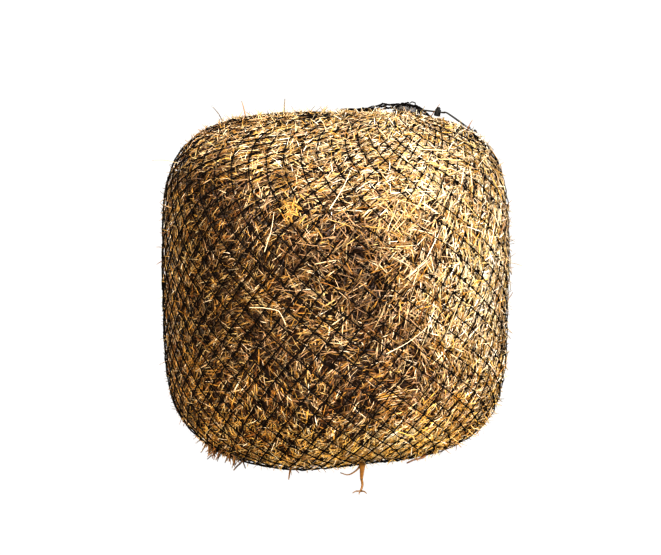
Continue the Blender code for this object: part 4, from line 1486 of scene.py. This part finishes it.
def base_stalks():
    """Stalks, a leaf and a tuft that hang out of the lower meshes at the front."""
    spans = ((-0.395, 0.030, -0.030, 0.030), (-0.305, 0.030, -0.026, 0.026),
             (-0.145, 0.028, -0.006, 0.020), (0.085, 0.110, -0.008, STALK_GROUND),
             (0.292, 0.045, -0.062, 0.044))
    routes = [hanging_route(*span) for span in spans]
    hanging = (tufted(routes[0]), [stalk(routes[1], 0.0060, tone(GOLDEN, 2), end=0.7)],
               forked(routes[2]), drooping_leaf(routes[3]),
               [stalk(routes[4], 0.0150, tone(ORANGE, 2), flat=0.5, end=0.6, roll=0.6)])
    for number, blocks in enumerate(hanging, start=1):
        piece(f"hanging_stalk_{number}", blocks, STRAW, [f"loose_straw_base_{number}"])


def front_stalks():
    spans = (((-0.262, 0.603), (-0.215, 0.607), (-0.176, 0.603), (-0.166, 0.592), (-0.150, 0.560)),
             ((-0.020, 0.900), (0.020, 0.955), (0.045, 1.000)),
             ((-0.215, 0.770), (-0.195, 0.830), (-0.188, 0.890)),
             ((0.150, 0.470), (0.215, 0.500), (0.275, 0.540)))
    for number, span in enumerate(spans, start=1):
        points = [on_front(x, height, 0.0036) for x, height in span]
        piece(f"front_stalk_{number}", [stalk(points, 0.0046, tone(CREAM, 11), flat=0.7)], STRAW,
              [f"loose_straw_front_{number}"])


def top_stalks():
    spans = ((-0.395, 0.160, -0.035, 0.050), (-0.320, 0.245, -0.012, 0.052),
             (-0.185, 0.300, 0.004, 0.048), (0.445, 0.020, 0.016, 0.034))
    looks = ((OLIVE, 3), (ORANGE, 7), (OLIVE, 6), (ORANGE, 5))
    for number, ((x, y, lean, rise), (family, level)) in enumerate(zip(spans, looks), start=1):
        foot = above_crown((x, y), 0.000)
        points = [foot, foot + np.array((0.4 * lean, 0, 0.5 * rise)), foot + np.array((lean, 0, rise))]
        piece(f"top_stalk_{number}", [stalk(points, 0.0050, tone(family, level), flat=0.7)], STRAW,
              [f"loose_straw_top_{number}"])


def yellow_tuft():
    """A knot of fine bright stalks in the upper left of the front."""
    rng = np.random.default_rng(31)
    blocks = []
    for _ in range(34):
        x, height = -0.142 + rng.normal(0, 0.015), 0.902 + rng.normal(0, 0.018)
        turn = rng.uniform(0, 2 * math.pi)
        reach = rng.uniform(0.008, 0.022)
        sweep = rng.normal(0, 0.7)
        points = [on_front(x + part * reach * math.cos(turn + part * sweep),
                           height + part * reach * math.sin(turn + part * sweep), lift)
                  for part, lift in ((-1, -0.002), (0, rng.uniform(0.004, 0.011)), (1, -0.001))]
        width = rng.uniform(0.0026, 0.0040)
        colour = tone(rng.integers(0, 2), rng.integers(8, 14))
        blocks.append(stalk(points, width, colour, end=0.7))
    piece("yellow_tuft", blocks, STRAW)


def stray_stalks():
    """Single stalks that stand out of the outline at the sides and the top."""
    strays = ((-0.52, -0.10, 0.99, (-0.085, -0.01, 0.012), 0.0030, tone(OLIVE, 12)),
              (0.50, -0.18, 1.00, (0.060, -0.01, -0.030), 0.0036, tone(GOLDEN, 8)),
              (0.57, -0.16, 0.67, (0.050, -0.01, -0.008), 0.0026, tone(OLIVE, 9)),
              (-0.57, -0.16, 0.72, (-0.030, 0.00, 0.004), 0.0028, tone(GOLDEN, 6)),
              (-0.57, -0.16, 0.33, (-0.028, -0.01, -0.010), 0.0028, tone(GOLDEN, 6)),
              (0.335, 0.200, 1.12, (0.030, -0.01, 0.046), 0.0036, tone(ORANGE, 5)),
              (0.300, 0.230, 1.12, (0.014, -0.01, 0.036), 0.0030, tone(OLIVE, 9)))
    blocks = []
    for x, y, z, reach, width, colour in strays:
        root = to_surface(np.array((x, y, z)))
        reach = np.array(reach)
        sag = np.array((0, 0, 0.06 * abs(reach[0])))
        points = [root - 0.15 * reach, root + 0.5 * reach + sag, root + reach]
        blocks.append(stalk(points, width, colour, end=0.5))
    piece("stray_stalks", blocks, STRAW)


base_stalks()
front_stalks()
top_stalks()
yellow_tuft()
stray_stalks()


# ---- the cord lock keeps its CAD shape

LOCK_MATERIALS = {"cord_lock_housing": LOCK_PLASTIC, "cord_lock_plunger": LOCK_PLASTIC,
                  "cord_lock_spring": SPRING_WIRE}
for node, material in LOCK_MATERIALS.items():
    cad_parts[node].data.materials.clear()
    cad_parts[node].data.materials.append(material)


# ---- floor and light

def stage_piece(name):
    """Turns the newest object into part of the white stage, which lights nothing and shades nothing."""
    obj = bpy.context.object
    obj.name = name
    n = Nodes(name)
    material = n.finish((0.02, 0.02, 0.02, 1.0), 0.9, Specular_IOR_Level=0.0)
    n.shader.inputs["Emission Color"].default_value = (1.0, 1.0, 1.0, 1.0)
    n.shader.inputs["Emission Strength"].default_value = 1.0
    obj.data.materials.append(material)
    obj.visible_diffuse = False
    obj.visible_glossy = False
    obj.visible_shadow = False


STAGE_RADIUS = 60
BACKDROP_HEIGHT = 82
BACKDROP_MIDDLE = 39


def make_stage():
    bpy.ops.mesh.primitive_circle_add(vertices=96, radius=STAGE_RADIUS, fill_type="NGON",
                                      location=(0, 0, -0.0005))
    stage_piece("floor")
    bpy.ops.mesh.primitive_cylinder_add(vertices=96, radius=STAGE_RADIUS - 1, depth=BACKDROP_HEIGHT,
                                        end_fill_type="NGON", location=(0, 0, BACKDROP_MIDDLE))
    stage_piece("backdrop")


def make_sun(name, towards, strength, angle, colour):
    """A distant lamp; towards is the direction from the bale to it."""
    data = bpy.data.lights.new(name, "SUN")
    data.energy = strength
    data.angle = math.radians(angle)
    data.color = colour
    lamp = bpy.data.objects.new(name, data)
    lamp.rotation_euler = Vector(towards).to_track_quat("Z", "Y").to_euler()
    bpy.context.scene.collection.objects.link(lamp)


SUNS = {                      # towards, strength, degrees across, colour
    "key": ((0.84, -0.38, 0.74), 11.0, 5, (1.0, 0.985, 0.985)),
    "front_fill": ((-0.45, -0.88, 0.06), 8.8, 25, (1.0, 0.87, 0.69)),
    "back_fill": ((-0.40, 0.92, 0.04), 9.0, 35, (1.0, 0.95, 0.88)),
}
WORLD_STRENGTH = 0.12
GAMMA = 0.80


def make_light():
    for name, settings in SUNS.items():
        make_sun(name, *settings)
    world = bpy.data.worlds.new("studio")
    world.use_nodes = True
    background = world.node_tree.nodes["Background"]
    background.inputs["Color"].default_value = (1.0, 1.0, 1.0, 1.0)
    background.inputs["Strength"].default_value = WORLD_STRENGTH
    bpy.context.scene.world = world
    bpy.context.scene.view_settings.view_transform = "Standard"
    bpy.context.scene.view_settings.gamma = GAMMA


make_stage()
make_light()
